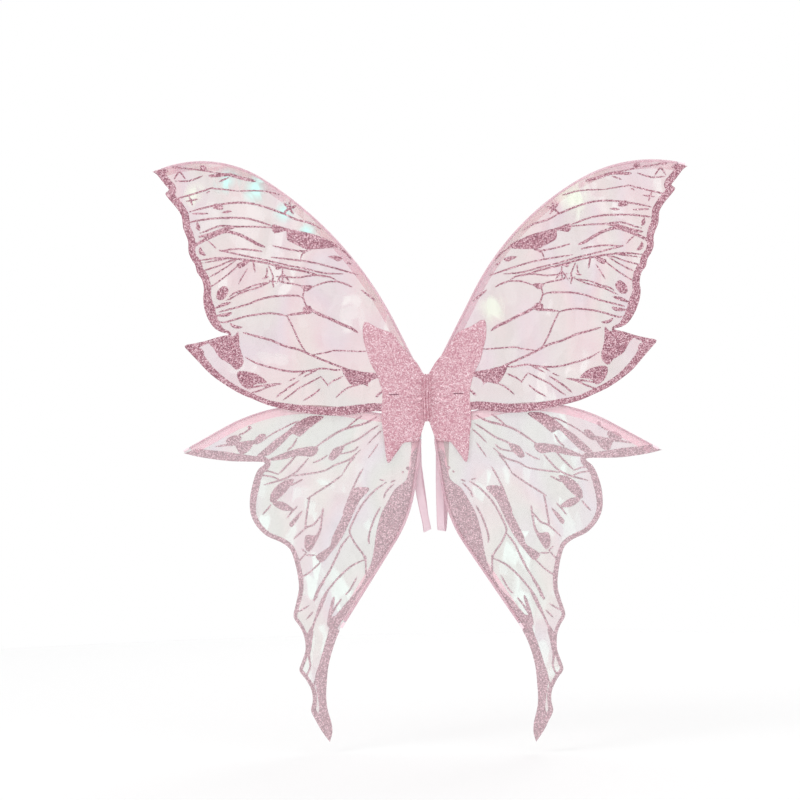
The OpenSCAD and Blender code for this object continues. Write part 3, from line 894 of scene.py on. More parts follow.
UPPER_LEAVES = [
    (117, 95, 125, 94, 126, 101, 118, 102), (115, 123, 128, 123, 122, 117),
    (43, 25, 49, 30, 59, 31, 79, 35, 84, 33, 82, 27, 73, 16, 62, 18, 54, 13, 57, 17, 51, 23),
    (82, 151, 87, 148, 91, 150, 98, 153, 90, 154), (149, 142, 154, 140, 156, 143),
    (183, 150, 197, 147, 195, 142, 190, 144),
    (88, 163, 97, 170, 115, 177, 139, 182, 158, 187, 156, 178, 143, 180, 142, 171, 128, 164, 119,
     161),
    (229, 244, 235, 245, 235, 249, 230, 248), (270, 243, 277, 241, 284, 243, 277, 246),
    (212, 203, 222, 204, 221, 209, 213, 208), (202, 201, 208, 199, 213, 200, 207, 202),
    (237, 181, 241, 184, 240, 190, 237, 186), (231, 156, 236, 156, 239, 160, 237, 165, 235, 161),
    (195, 75, 200, 70, 216, 69, 228, 66, 221, 57, 215, 47, 204, 40, 197, 34, 190, 43, 194, 60),
    (166, 21, 177, 30, 194, 33, 197, 27, 192, 17, 184, 13, 180, 18, 172, 20),
    (207, 119, 212, 124, 219, 119, 220, 111, 213, 110), (204, 107, 214, 106, 222, 100, 210, 103),
    (202, 96, 210, 95, 221, 92, 208, 91), (191, 80, 199, 82, 204, 84, 202, 80, 196, 78),
    (233, 47, 251, 59, 233, 56)]
upper.draw(UPPER_VEINS, UPPER_LEAVES)

# %% Lower wing pattern
lower = Field(film_rims["lower", RIGHT], PRINT_GRID)
lower.border(
    film_rims["lower", RIGHT],
    (253, -58, 6), (237, -62, 9), (210, -65.5, 10), (180, -66, 6), (170, -68, 6), (186, -95, 8),
    (187, -122, 6), (170, -146, 5), (145, -161, 5), (137, -190, 5.5), (144, -235, 4),
    (134, -272, 4),
    (141, -294, 4), (127, -328, 4.5), (109, -373, 9))
lower.leaf(
    0, -55, 10, -60, 10, -70, 16, -88, 28, -97, 36, -110, 44, -124, 50, -145, 54, -170, 60, -188,
    70, -206, 84, -220, 98, -235, 104, -236, 107, -252, 113, -268, 119, -287, 124, -302, 122, -318,
    120, -335, 122, -350, 120, -380, 100, -380, 60, -300, 10, -190, -10, -100)
LOWER_VEINS = [
    (2.2, 30, -92, 38, -100, 41, -107), (2.4, 45, -117, 52, -130, 58, -148, 58, -157),
    (2, 28, -88, 33, -90), (2, 40, -88, 45, -87),
    (2.6, 47, -18, 58, -24, 72, -28, 86, -32, 100, -40, 115, -50), (2, 64, -17, 70, -21, 80, -29),
    (2.2, 45, -27, 56, -34, 68, -42, 80, -47, 86, -50), (2, 42, -33, 48, -38, 58, -48),
    (1.8, 46, -47, 50, -53, 58, -64), (2, 68, -50, 74, -55, 88, -58),
    (2.2, 66, -54, 78, -64, 94, -70, 106, -76, 125, -79, 140, -81), (2, 72, -62, 78, -68, 86, -80),
    (2.2, 63, -74, 68, -82, 76, -98, 80, -108, 86, -122),
    (2.2, 86, -81, 99, -90, 112, -98, 125, -106),
    (2, 102, -59, 110, -64, 118, -67),
    (2.4, 38, -90, 50, -98, 62, -110, 70, -122, 78, -138, 79, -145, 73, -157, 65, -168, 63, -174),
    (2.2, 135, -40, 140, -48, 146, -53), (1.8, 133, -21, 145, -26, 163, -36, 175, -45, 182, -46),
    (2.4, 137, -59, 142, -65, 156, -79), (2.2, 123, -62, 136, -76, 150, -84, 172, -90),
    (2, 156, -79, 165, -76, 172, -75), (2, 156, -84, 165, -81, 176, -80),
    (2.6, 181, -43, 197, -46, 220, -50), (2, 183, -29, 190, -34, 196, -37),
    (2.2, 165, -112, 169, -117, 174, -122), (2.2, 130, -85, 136, -88, 142, -91),
    (2.2, 122, -104, 124, -112, 127, -130, 128, -138), (2, 136, -114, 142, -120, 148, -127),
    (2.4, 108, -117, 109, -125, 111, -138), (2.2, 109, -123, 118, -134, 127, -138, 141, -150),
    (2, 127, -165, 135, -174, 139, -178), (2, 127, -165, 132, -161), (2, 117, -168, 127, -168),
    (2, 110, -174, 123, -186, 135, -193),
    (2.6, 79, -147, 88, -158, 94, -170, 101, -184, 110, -198, 117, -212, 120, -218),
    (3.6, 108, -196, 114, -205, 120, -218),
    (2.4, 63, -174, 78, -181, 90, -191, 101, -203, 110, -215, 117, -230, 123, -245),
    (2.2, 62, -170, 62, -180, 62, -190), (2, 72, -193, 80, -207, 85, -212),
    (4, 98, -215, 103, -230, 107, -246), (2.2, 90, -217, 96, -224, 104, -236),
    (2, 82, -222, 95, -232), (2, 116, -214, 121, -217), (2, 126, -223, 139, -230),
    (2, 122, -230, 130, -238),
    (2.6, 103, -205, 113, -225, 121, -240, 129, -262, 130, -280, 129, -290, 134, -301),
    (2.2, 124, -245, 132, -258, 134, -263), (2.6, 124, -305, 129, -325, 127, -335, 120, -350)]
LOWER_LEAVES = [
    (14, -73, 16, -75, 14, -77, 12, -75), (19, -78, 21, -79, 20, -81, 18, -79),
    (83, -49, 95, -52, 101, -62, 97, -65, 92, -62, 88, -58),
    (60, -95, 70, -95, 77, -98, 81, -110, 88, -128, 98, -148, 101, -158, 108, -163, 117, -170,
     110, -176, 102, -168, 88, -150, 77, -128, 68, -110, 57, -98),
    (105, -17, 120, -28, 132, -38, 140, -35, 150, -44, 165, -58, 178, -60, 168, -50, 158, -41,
     147, -33, 133, -22, 120, -16),
    (168, -36, 175, -36, 182, -45, 178, -46, 172, -42),
    (112, -50, 128, -50, 148, -55, 167, -64, 152, -63, 134, -59, 118, -60),
    (181, -43, 197, -46, 205, -50, 200, -49, 195, -58, 186, -54),
    (195, -38, 203, -38, 210, -44, 203, -48, 194, -42), (183, -27, 187, -28, 185, -31),
    (139, -84, 152, -87, 163, -97, 166, -108, 160, -108, 150, -100, 143, -91),
    (160, -108, 150, -110, 140, -118, 153, -118, 163, -111),
    (131, -119, 141, -128, 145, -133, 143, -137, 134, -126),
    (110, -132, 116, -146, 127, -146, 129, -158, 124, -164, 116, -153, 110, -140),
    (124, -250, 133, -258, 134, -265, 129, -275, 125, -258)]
lower.draw(LOWER_VEINS, LOWER_LEAVES)

# %% Lay the print on both sides
# Over the tail's tape the lower print climbs on to the tape's leaf.
PRINT_FOOT = 0.1
TAPE_CLIMB, LEAF_FROM, LEAF_TO = 0.34, 11.0, 9.4
for half, field, seed in (("upper", upper, 5), ("lower", lower, 9)):
    flat, triangles = field.traced(film_rims[half, RIGHT], seed)
    for side in (LEFT, RIGHT):
        spots = hung(side, flat)
        top = FILM_FRONT[half]
        if half == "lower":
            tail = walk("tail", side)[0]
            away = np.min([np.hypot(*(spots - p).T) for p in tail], 0)
            top = top + TAPE_CLIMB * ramp(away, LEAF_FROM, LEAF_TO)
        forward = lie(half, side, spots)
        front = placed(side, spots[:, 0], spots[:, 1], top + PRINT_THICK + forward)
        back = placed(side, spots[:, 0], spots[:, 1], top - PRINT_FOOT + forward)
        made = slab(f"{SIDE_NAMES[side]}_{half}_print", front, back, triangles, print_look,
                    "glitter_print", side == LEFT)
        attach(made, f"{SIDE_NAMES[side]}_wing")
        print(made.name, len(made.data.polygons), "faces")

# %% [markdown]
# ## Node trees for what follows a path or a surface
# Wires, stitches and loose glitter all repeat or follow something, so each is a Geometry Nodes tree
# with named inputs. A small helper builds the group, another runs it on a line or a surface and
# keeps the plain mesh, because a finished piece carries no modifier.

# %% Tree helpers
SOCKETS = {"Geometry": "NodeSocketGeometry", "Look": "NodeSocketMaterial", "Seed": "NodeSocketInt"}


def group(name, *inputs):
    """A new node group with named inputs, its board, and its input sockets by name."""
    tree = bpy.data.node_groups.new(name, "GeometryNodeTree")
    for title in ("Geometry", *inputs, "Look"):
        tree.interface.new_socket(name=title, in_out="INPUT",
                                  socket_type=SOCKETS.get(title, "NodeSocketFloat"))
    tree.interface.new_socket(name="Geometry", in_out="OUTPUT", socket_type="NodeSocketGeometry")
    board = Board(tree)
    return board, board.node("NodeGroupInput").outputs


def close(board, geometry, look, smooth_faces=True):
    """The end of every tree: real geometry with its material."""
    real = board.node("GeometryNodeRealizeInstances", Geometry=geometry)
    shaded = board.node("GeometryNodeSetShadeSmooth", Geometry=real.outputs[0],
                        Shade_Smooth=smooth_faces)
    painted = board.node("GeometryNodeSetMaterial", Geometry=shaded.outputs[0], Material=look)
    board.node("NodeGroupOutput", Geometry=painted.outputs[0])
    return board.tree


def grown(name, source, tree, slot, **values):
    """The plain mesh that a tree grows from a source object."""
    modifier = source.modifiers.new(name, "NODES")
    modifier.node_group = tree
    for item in tree.interface.items_tree:
        key = item.name.replace(" ", "_")
        if item.in_out == "INPUT" and key in values:
            modifier[item.identifier] = values[key]
    bpy.context.view_layer.update()
    result = source.evaluated_get(bpy.context.evaluated_depsgraph_get())
    mesh = bpy.data.meshes.new_from_object(result)
    source.modifiers.remove(modifier)
    mesh.name = name
    mesh.materials.clear()
    mesh.materials.append(values["Look"])
    mesh.polygons.foreach_set("material_index", [0] * len(mesh.polygons))
    print(name, len(mesh.polygons), "faces from nodes")
    return added(name, mesh, slot)


def line(points, closed=False):
    """A curve object through points in metres, for a tree to follow."""
    curve = bpy.data.curves.new("line", "CURVE")
    curve.dimensions = "3D"
    spline = curve.splines.new("POLY")
    spline.points.add(len(points) - 1)
    spline.points.foreach_set("co", np.column_stack([points, np.ones(len(points))]).ravel())
    spline.use_cyclic_u = closed
    return added("line", curve)


def joined(name, parts):
    """Several plain mesh objects as one."""
    shape = bmesh.new()
    for part in parts:
        shape.from_mesh(part.data)
    slot, look = parts[0]["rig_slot"], parts[0].data.materials[0]
    for part in parts:
        bpy.data.objects.remove(part)
    mesh = bpy.data.meshes.new(name)
    shape.to_mesh(mesh)
    shape.free()
    mesh.materials.append(look)
    return added(name, mesh, slot)


# %% [markdown]
# ### Wires
# A wire is one round profile along a line. Curve to Mesh does just that, with its ends filled.

# %% Wire tree
board, given = group("wire", "Radius")
ring = board.node("GeometryNodeCurvePrimitiveCircle", Resolution=14, Radius=given["Radius"])
tube = board.node("GeometryNodeCurveToMesh", Curve=given["Geometry"], Profile_Curve=ring.outputs[0],
                  Fill_Caps=True)
wire_tree = close(board, tube.outputs[0], given["Look"])

# %% Wires
SLACK = 0.00002
for side in (LEFT, RIGHT):
    here = SIDE_NAMES[side]
    top, foot = walk("upper", side)[0][:-1], walk("tail", side)[0][:-1]
    main = np.vstack([foot[::-1], top[1:]])
    hind = walk("hind", side)[0][:-1]
    for name, path, radius, deep in (("frame_wire", main, WIRE_R, 0.0),
                                     ("hind_wire", hind, HIND_WIRE_R, HIND_WIRE_W)):
        guide = line(placed(side, path[:, 0], path[:, 1], deep))
        made = grown(f"{here}_{name}_bent", guide, wire_tree, "wire",
                     Radius=radius / 1000 - SLACK, Look=steel_look)
        bpy.data.objects.remove(guide)
        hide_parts(f"{here}_{name}")
        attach(made, f"{here}_wing")

# %% [markdown]
# ### Binding tape
# The tape is folded over the wire and lies on the film as a thin leaf. Its section is constant in
# the CAD piece. Here the leaf is gathered a little, because flat tape that follows a bend has to
# pucker, so the section is swept in code with its leaf lifted by a ripple.

# %% Swept sections


def sweep(side, path, headings, section, ripple):
    """Points and faces of a closed section, in across and w, swept along drawn points."""
    count, rings = len(section), len(path)
    left = np.stack([np.cos(headings + math.pi / 2), np.sin(headings + math.pi / 2)], -1)
    flat = path[:, None] + section[None, :, :1] * left[:, None]
    deep = section[None, :, 1] + ripple(np.arange(rings)[:, None], section[None, :, 0])
    points = placed(side, flat[..., 0].ravel(), flat[..., 1].ravel(), deep.ravel())
    first, last = end_faces(rings, count)
    return points, tube_faces(rings, count) + [first[::-1], last]


def turned_out(made):
    """Recalculates a closed mesh's normals so that they face outwards."""
    shape = bmesh.new()
    shape.from_mesh(made.data)
    bmesh.ops.recalc_face_normals(shape, faces=shape.faces)
    shape.to_mesh(made.data)
    shape.free()
    return made


LEAF_W, LEAF_BACK = 8.5, 1.3
SLEEVE_GAP = 0.05


def tape_section(bore, sleeve, wire_w, inward, front):
    """The section of a tape folded round a wire, with its leaf on the wing's side."""
    leaf = [(u, TAPE_R) for u in np.linspace(LEAF_W, 0, 7)]
    under = [(u, LEAF_BACK) for u in np.linspace(0.6, LEAF_W, 7)]
    outer = [(sleeve * math.cos(a), front * wire_w + sleeve * math.sin(a))
             for a in np.radians(np.arange(110, 395, 18))]
    inner = [(bore * math.cos(a), front * wire_w + bore * math.sin(a))
             for a in np.radians(np.arange(390, 80, -24))]
    return np.array([(inward * x, front * y) for x, y in leaf + outer + inner + under])


# For each tape: the leg it starts at, its bore and sleeve, its wire's w, and which way it faces.
TAPES = {
    "upper": (2, (WIRE_R + SLEEVE_GAP, TAPE_R, 0.0, -1, 1)),
    "hind": (2, (HIND_WIRE_R + SLEEVE_GAP, HIND_TAPE_R, HIND_WIRE_W, -1, -1)),
    "tail": (1, (WIRE_R + SLEEVE_GAP, TAPE_R, 0.0, 1, -1)),
}
for side in (LEFT, RIGHT):
    here = SIDE_NAMES[side]
    for kind, (first, shape_of) in TAPES.items():
        path, headings = walk(kind, side, first, 5)
        section = tape_section(*shape_of)

        def pucker(i, across):
            out = np.clip((np.abs(across) - TAPE_R) / (LEAF_W - TAPE_R), 0, 1)
            return -0.16 * shape_of[4] * out * (1 + np.sin(i * 1.9 + 1.3 * np.sin(i * 0.37)))

        points, faces = sweep(side, path, headings, section, pucker)
        made = turned_out(solid(f"{here}_{kind}_tape", points, faces, tape_look, "tape"))
        made.data.set_sharp_from_angle(angle=math.radians(60))
        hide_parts(f"{here}_{kind}_binding")
        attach(made, f"{here}_wing")
        print(made.name, len(faces), "faces")

# %% [markdown]
# ### End caps and crimp
# Each wire ends in a dipped vinyl cap, which is turned on a lathe: a profile spun round the wire's
# own direction. The crimp is a pressed steel ferrule, so the CAD piece is copied, merged and given
# soft edges with a bevel.

# %% Caps
# How far out of the wire's surface, and how far along it, the cap's outside runs.
CAP_PROFILE = [(0.15, -6), (0.42, -6.05), (0.5, -5.8), (0.5, 0.2), (0.42, 0.7), (0.2, 0.95)]
for side in (LEFT, RIGHT):
    here = SIDE_NAMES[side]
    points, faces = [], []
    for kind, radius, deep in (("upper", WIRE_R, 0.0), ("tail", WIRE_R, 0.0),
                               ("hind", HIND_WIRE_R, HIND_WIRE_W)):
        path, headings = walk(kind, side)
        along = np.array([math.cos(headings[-1]), math.sin(headings[-1])])
        left = np.array([-along[1], along[0]])
        base, turns = len(points), 18
        profile = [(radius + grow, reach) for grow, reach in CAP_PROFILE]
        profile += [(0.6 * radius, 1.0), (0.05, 1.0), (0.05, -0.1), (radius + 0.1, -0.1)]
        for out, reach in profile:
            for k in range(turns):
                angle = 2 * math.pi * k / turns
                spot = path[-1] + along * reach + left * out * math.cos(angle)
                points.append(placed(side, spot[0], spot[1], deep + out * math.sin(angle)))
        # The profile is closed, so the last ring joins the first.
        total = len(profile) * turns
        faces += [tuple(base + (i - base) % total for i in face)
                  for face in tube_faces(len(profile) + 1, turns, base)]
    caps = turned_out(solid(f"{here}_dipped_caps", points, faces, vinyl_look, "tape"))
    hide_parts(f"{here}_wire_caps")
    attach(caps, f"{here}_wing")


def softened(node, name, look, slot, width):
    """A merged copy of a CAD piece with bevelled edges."""
    shape = bmesh.new()
    shape.from_mesh(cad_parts[node].data)
    bmesh.ops.remove_doubles(shape, verts=shape.verts, dist=1e-6)
    bmesh.ops.dissolve_limit(shape, angle_limit=math.radians(1), verts=shape.verts,
                             edges=shape.edges)
    sharp = [e for e in shape.edges if len(e.link_faces) == 2
             and e.calc_face_angle(0) > math.radians(40)]
    bmesh.ops.bevel(shape, geom=sharp, offset=width, segments=2, affect="EDGES",
                    profile=0.5, clamp_overlap=True)
    bmesh.ops.triangulate(shape, faces=shape.faces)
    mesh = bpy.data.meshes.new(name)
    shape.to_mesh(mesh)
    shape.free()
    mesh.materials.append(look)
    mesh.polygons.foreach_set("use_smooth", [True] * len(mesh.polygons))
    mesh.set_sharp_from_angle(angle=math.radians(50))
    made = added(name, mesh, slot)
    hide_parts(node)
    return made


for here in SIDE_NAMES.values():
    crimp = softened(f"{here}_wire_crimp", f"{here}_pressed_crimp", steel_look, "wire", 0.00025)
    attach(crimp, f"{here}_wing")

# %% [markdown]
# ## Glitter cover
# Each wing root hides under a cover of glitter fabric with a cut edge. It is a single cloth: it
# lies on the wing, then runs in gathers over the stuffed core and under the centre band. It rides
# on neither the back pad nor the wing.

# %% Cover cloth
THROAT_U = -6.3
COVER_FACE_W = 3.5
covers = {}


def cover_lie(u, v, distance):
    """Front and back of the cover at drawn points: puffed, gathered near the band."""
    climb = np.clip((4 - u) / 10.5, 0, 1)
    climb = climb * climb * (3 - 2 * climb)
    rise = 2.5 * climb
    fan = np.arctan2(v - 4, u + 16)
    gather = np.exp(-np.maximum(u, 0) / 15) * (
        0.8 * np.sin(fan * 23 + 0.6) + 0.45 * np.sin(fan * 41 + u * 0.12))
    rumple = np.array([noise.noise(Vector((a * 0.06, b * 0.06, 4.2))) for a, b in zip(u, v)])
    edge = np.clip(distance / 2.2, 0, 1) ** 0.5
    thick = 0.55 + edge * (1.0 + gather + 0.7 * rumple)
    back = FILM_FRONT["upper"] + 0.05 + rise
    return back + np.maximum(thick, 0.35), back


for side in (LEFT, RIGHT):
    here = SIDE_NAMES[side]
    rim = cad_rim(f"{here}_cover", lambda p: drawn(side, p),
                  lambda p: abs(depth_of(side, p) - COVER_FACE_W) < 0.02)
    outer = rim[rim[:, 0] > 0.6]
    start = int(np.argmax(np.hypot(*(outer - np.roll(outer, 1, 0)).T)))
    outer = np.roll(outer, -start, 0)
    throat = [(THROAT_U, v) for v in (25, 10, -8, -21)]
    if outer[0, 1] > outer[-1, 1]:
        throat = throat[::-1]
    rim = np.vstack([outer, throat])
    x, y = rim.T
    if np.dot(x, np.roll(y, -1)) < np.dot(y, np.roll(x, -1)):
        rim = rim[::-1]
    flat, triangles = filled(rim, 1.15)
    u, v = flat.T
    distance = -edge_distance(flat, rim)
    distance[: len(rim)] = 0
    distance = np.where(u < -3, 3, distance)
    high, low = cover_lie(u, v, distance)
    cover = slab(f"{here}_root_cover", placed(side, u, v, high), placed(side, u, v, low),
                 triangles, cloth_look, "glitter_fabric", side == LEFT, 65)
    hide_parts(f"{here}_cover")
    covers[side] = cover
    print(cover.name, len(cover.data.polygons), "faces")

# %% [markdown]
# ### Loose glitter
# The flashes that catch the eye are single hexagonal flakes that stand a little proud. A tree
# scatters them on a surface with a fixed seed, tips each one and gives it a random size. They are
# six-sided prisms, thin enough to look like foil and still closed.

# %% Flake tree
board, given = group("flakes", "Density", "Flake Size", "Seed")
spread = board.node("GeometryNodeDistributePointsOnFaces", Mesh=given["Geometry"],
                    Density=given["Density"], Seed=given["Seed"])
hexagon = board.node("GeometryNodeMeshCylinder", Vertices=6, Radius=0.5, Depth=0.16)
tilt = board.node("FunctionNodeRandomValue", {"data_type": "FLOAT_VECTOR"},
                  in_0=(-0.6, -0.6, -3.1), in_1=(0.6, 0.6, 3.1), Seed=given["Seed"])
tip = board.node("FunctionNodeEulerToRotation", Euler=tilt.outputs[0])
stand = board.node("FunctionNodeRotateRotation", {"rotation_space": "LOCAL"},
                   Rotation=spread.outputs["Rotation"], Rotate_By=tip.outputs[0])
grade = board.node("FunctionNodeRandomValue", {"data_type": "FLOAT"}, in_2=0.55, in_3=1.25,
                   Seed=given["Seed"])
size = Number(board, grade.outputs[1]) * given["Flake Size"]
scatter = board.node("GeometryNodeInstanceOnPoints", Points=spread.outputs[0],
                     Instance=hexagon.outputs[0], Rotation=stand.outputs[0], Scale=size)
flake_tree = close(board, scatter.outputs[0], given["Look"], False)


def flakes_on(name, surface, slot, keep, **values):
    """Glitter flakes on the part of a surface that keep says, as a plain mesh."""
    shape = bmesh.new()
    shape.from_mesh(surface.data)
    bmesh.ops.delete(shape, geom=[f for f in shape.faces if not keep(f)], context="FACES")
    mesh = bpy.data.meshes.new("ground")
    shape.to_mesh(mesh)
    shape.free()
    ground = added("ground", mesh)
    made = grown(name, ground, flake_tree, slot, Look=flake_look, **values)
    bpy.data.objects.remove(ground)
    return made


def faces_front(side, least=0.5):
    """Whether a face looks towards the viewer's side of a wing."""
    forward = Vector((-side * math.sin(LEAN), -math.cos(LEAN), 0))
    return lambda face: face.normal.dot(forward) > least


# A stretch in metres from the middle, between the root and the wing; the cover is not turned over
# it.
FOLD_FROM, FOLD_TO = 0.0045, 0.0125
CLOTH_FLAKES, PRINT_FLAKES = 420000.0, 130000.0
for side in (LEFT, RIGHT):
    here = SIDE_NAMES[side]
    cover = covers[side]
    sparkle = flakes_on(f"{here}_cover_flakes", cover, "glitter_fabric", faces_front(side, 0.2),
                        Density=CLOTH_FLAKES, Flake_Size=0.0007, Seed=11 + side)
    for piece in (cover, sparkle):
        side * FOLD_FROM
        side * FOLD_TO
        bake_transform(piece)
    for half in ("upper", "lower"):
        made = flakes_on(f"{here}_{half}_flakes", bpy.data.objects[f"{here}_{half}_print"],
                         "glitter_print", faces_front(side), Density=PRINT_FLAKES,
                         Flake_Size=0.00075, Seed=31 + side)
        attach(made, f"{here}_wing")

# %% [markdown]
# ### Stitches
# A stitch is a short round bead of thread, pulled down at both ends. The tree steps along a line,
# turns a small sphere to the line's way, and stretches it.

# %% Stitch tree
board, given = group("stitches", "Step", "Stitch", "Thread")
steps = board.node("GeometryNodeResampleCurve", {"mode": "LENGTH"}, Curve=given["Geometry"],
                   Length=given["Step"])
bead = board.node("GeometryNodeMeshUVSphere", Segments=8, Rings=6, Radius=0.5)
tangent = board.node("GeometryNodeInputTangent")
along = board.node("FunctionNodeAlignRotationToVector", {"axis": "X"}, Vector=tangent.outputs[0])
stretch = board.node("ShaderNodeCombineXYZ", X=given["Stitch"], Y=given["Thread"],
                     Z=given["Thread"])
beads = board.node("GeometryNodeInstanceOnPoints", Points=steps.outputs[0],
                   Instance=bead.outputs[0], Rotation=along.outputs[0], Scale=stretch.outputs[0])
stitch_tree = close(board, beads.outputs[0], given["Look"])


def stitched(name, paths, step=0.0024, stitch=0.0019, thread=0.00045, closed=False,
             look=thread_look):
    """Stitches along one or more lines, as one piece."""
    parts = []
    for path in paths:
        guide = line(np.array(path), closed)
        parts.append(grown("row_of_stitches", guide, stitch_tree, "thread", Step=step,
                           Stitch=stitch, Thread=thread, Look=look))
        bpy.data.objects.remove(guide)
    return joined(name, parts)


for side in (LEFT, RIGHT):
    here = SIDE_NAMES[side]
    u = np.linspace(24, 33, 6)
    flat = np.stack([u, 5.7 + 0 * u], -1)
    high = cover_lie(u, flat[:, 1], np.full(6, 9.0))[0]
    bar = stitched(f"{here}_cover_tack", [placed(side, u, flat[:, 1] + d, high + 0.05)
                                          for d in (0.0, 0.7)], 0.0018, 0.0019, 0.0007,
                   look=dark_thread_look)
    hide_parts(f"{here}_cover_stitch")
    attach(bar, f"{here}_wing")

# %% [markdown]
# ## Centre band and core
# A strip of glitter fabric wraps the middle and squeezes the two covers into gathers. Its folds
# run up and down and wander a little. It is swept from a half-round section whose ripples change
# with height, round a core that bulges like a small stuffed roll.

# %% Band
BAND_Z = (-24.0, 28.0)
rows, columns = 66, 56
points = []
for r in range(rows):
    z = BAND_Z[0] + (BAND_Z[1] - BAND_Z[0]) * r / (rows - 1)
    lip = min(1.0, 0.25 + 4.5 * min(r, rows - 1 - r) / rows) ** 0.5
    waist = 1 - 0.05 * math.cos((z - 2) / 26 * math.pi)
    for c in range(columns):
        angle = math.pi * 1.18 * c / (columns - 1) - math.pi * 0.09
        wander = (0.5 * math.sin(z * 0.16 + c * 0.05)
                  + 0.3 * noise.noise(Vector((c * 0.11, z * 0.09, 2))))
        fold = 0.5 + 0.5 * math.sin(c * 0.67 + wander * 1.4)
        out = lip * (1.9 + 2.0 * fold ** 0.6)
        x = -5.6 * waist * math.cos(angle) * (0.93 + 0.07 * lip)
        y = -12.6 - out * max(math.sin(angle), -0.25)
        points.append((x, y, z))
    points += [(5.0, -11.9, z), (2.5, -12.2, z), (-2.5, -12.2, z), (-5.0, -11.9, z)]
ring = columns + 4
band = turned_out(solid("gathered_band", np.array(points) / 1000,
                        tube_faces(rows, ring) + end_faces(rows, ring), cloth_look,
                        "glitter_fabric"))
band.data.set_sharp_from_angle(angle=math.radians(60))
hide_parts("centre_band")
band_flakes = flakes_on("band_flakes", band, "glitter_fabric", lambda face: face.normal.y < -0.15,
                        Density=CLOTH_FLAKES, Flake_Size=0.0007, Seed=4)
# The hems at the band's top and bottom are stitched in dark thread; their dark colour is also
# painted shade along those edges.
hem_lines = [[(x / 1000, -0.0126 - 0.0030 * math.sin(math.acos(x / 6.2)) - 0.0008, z)
              for x in np.linspace(-4, 4, 9)] for z in (-0.0222, 0.0262)]
hems = stitched("band_hems", hem_lines, 0.0017, 0.0013, 0.0005, look=dark_thread_look)
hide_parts("band_stitches")

# %% Core


def bolster(name, low, high, look, slot, gathers):
    """A stuffed roll between two corners, in millimetres, upright, with puckered ends."""
    low, high = np.array(low), np.array(high)
    middle, half = (low + high) / 2, (high - low) / 2
    rows, turns = 40, 36
    points = []
    for r in range(rows):
        t = -1 + 2 * r / (rows - 1)
        swell = max(1 - abs(t) ** 9, 0.0) ** 0.5 * 0.92 + 0.08
        for k in range(turns):
            angle = 2 * math.pi * k / turns
            c, s = math.cos(angle), math.sin(angle)
            square = (abs(c) ** 4 + abs(s) ** 4) ** -0.25
            ripple = 1 - 0.02 * (1 + math.sin(angle * gathers + 3 * t))
            points.append(middle + half * np.array([c * square * swell * ripple,
                                                    s * square * swell * ripple, t]))
    faces = tube_faces(rows, turns) + end_faces(rows, turns)
    return turned_out(solid(name, np.array(points) / 1000, faces, look, slot))


core = bolster("stuffed_core", (-3.6, -12.6, -22), (3.6, -5.2, 26), cloth_look, "foam", 9)
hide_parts("body_core")
for piece in (band, band_flakes, hems, core):
    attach(piece, "root")

# %% [markdown]
# ## Back pad, panel and hinge channels
# What touches the wearer is a soft foam pad in brushed cloth, sewn round its edge. A felt panel
# in front of it carries the arm loops and two sewn channels in which the wires turn.

# %% Pad
PAD_FRONT_Y, PANEL_FRONT_Y = -4.0, -5.2
PAD_HALF_W, PAD_HALF_H = 14, 23
SEAM_INSET = 3.4


def front_rim(node, y):
    """The rim of a flat piece's front face, which lies at y, as x and z in millimetres."""
    return cad_rim(node, lambda p: p[:, [0, 2]] * 1000, lambda p: abs(p[:, 1] - y / 1000) < 1e-5)


def facing_slab(name, flat, front, rear, triangles, look, slot, edge_angle):
    """A slab whose front and rear lie at given y values, in millimetres, over points x and z."""
    sheets = [np.column_stack([flat[:, 0], y, flat[:, 1]]) / 1000 for y in (front, rear)]
    return turned_out(slab(name, *sheets, triangles, look, slot, False, edge_angle))


rim = front_rim("back_pad", PAD_FRONT_Y)
flat, triangles = filled(rim, 0.9)
away = -edge_distance(flat, rim)
away[: len(rim)] = 0
roll = np.sqrt(np.clip(1 - (1 - np.clip(away / 1.6, 0, 1)) ** 2, 0, 1))
groove = 0.5 * np.exp(-((away - SEAM_INSET) / 0.5) ** 2)
crown = 0.3 * np.clip((away - 4) / 6, 0, 1)
rear = -1.7 + 1.5 * roll - groove + crown
front = -1.7 - 2.1 * roll
pad = facing_slab("foam_pad", flat, front, rear, triangles, foam_look, "foam", 80)
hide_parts("back_pad")
inset = [(x * (PAD_HALF_W - SEAM_INSET) / PAD_HALF_W, -0.48,
          z * (PAD_HALF_H - SEAM_INSET) / PAD_HALF_H) for x, z in rim]
pad_seam = stitched("pad_seam", [np.array(inset) / 1000], closed=True)

# %% Panel
rim = front_rim("centre_panel", PANEL_FRONT_Y)
dense = []
for a, b in zip(rim, np.roll(rim, -1, 0)):
    pieces = max(1, int(np.hypot(*(b - a)) / 1.2))
    dense += [a + (b - a) * k / pieces for k in range(pieces)]
rim = np.array(dense)
flat, triangles = filled(rim, 1.0)
away = -edge_distance(flat, rim)
away[: len(rim)] = 0
soft = 0.35 * (1 - np.clip(away / 0.7, 0, 1)) ** 2
wave = np.array([0.06 * noise.noise(Vector((a * 0.3, b * 0.3, 1))) for a, b in flat])
panel = facing_slab("felt_panel", flat, PANEL_FRONT_Y + soft + wave, PAD_FRONT_Y - soft,
                    triangles, felt_look, "pad_felt", 60)
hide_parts("centre_panel")

# %% Hinge channels
CHANNEL_HALF = 24
CHANNEL_BORE, CHANNEL_OUT = 1.18, 1.58
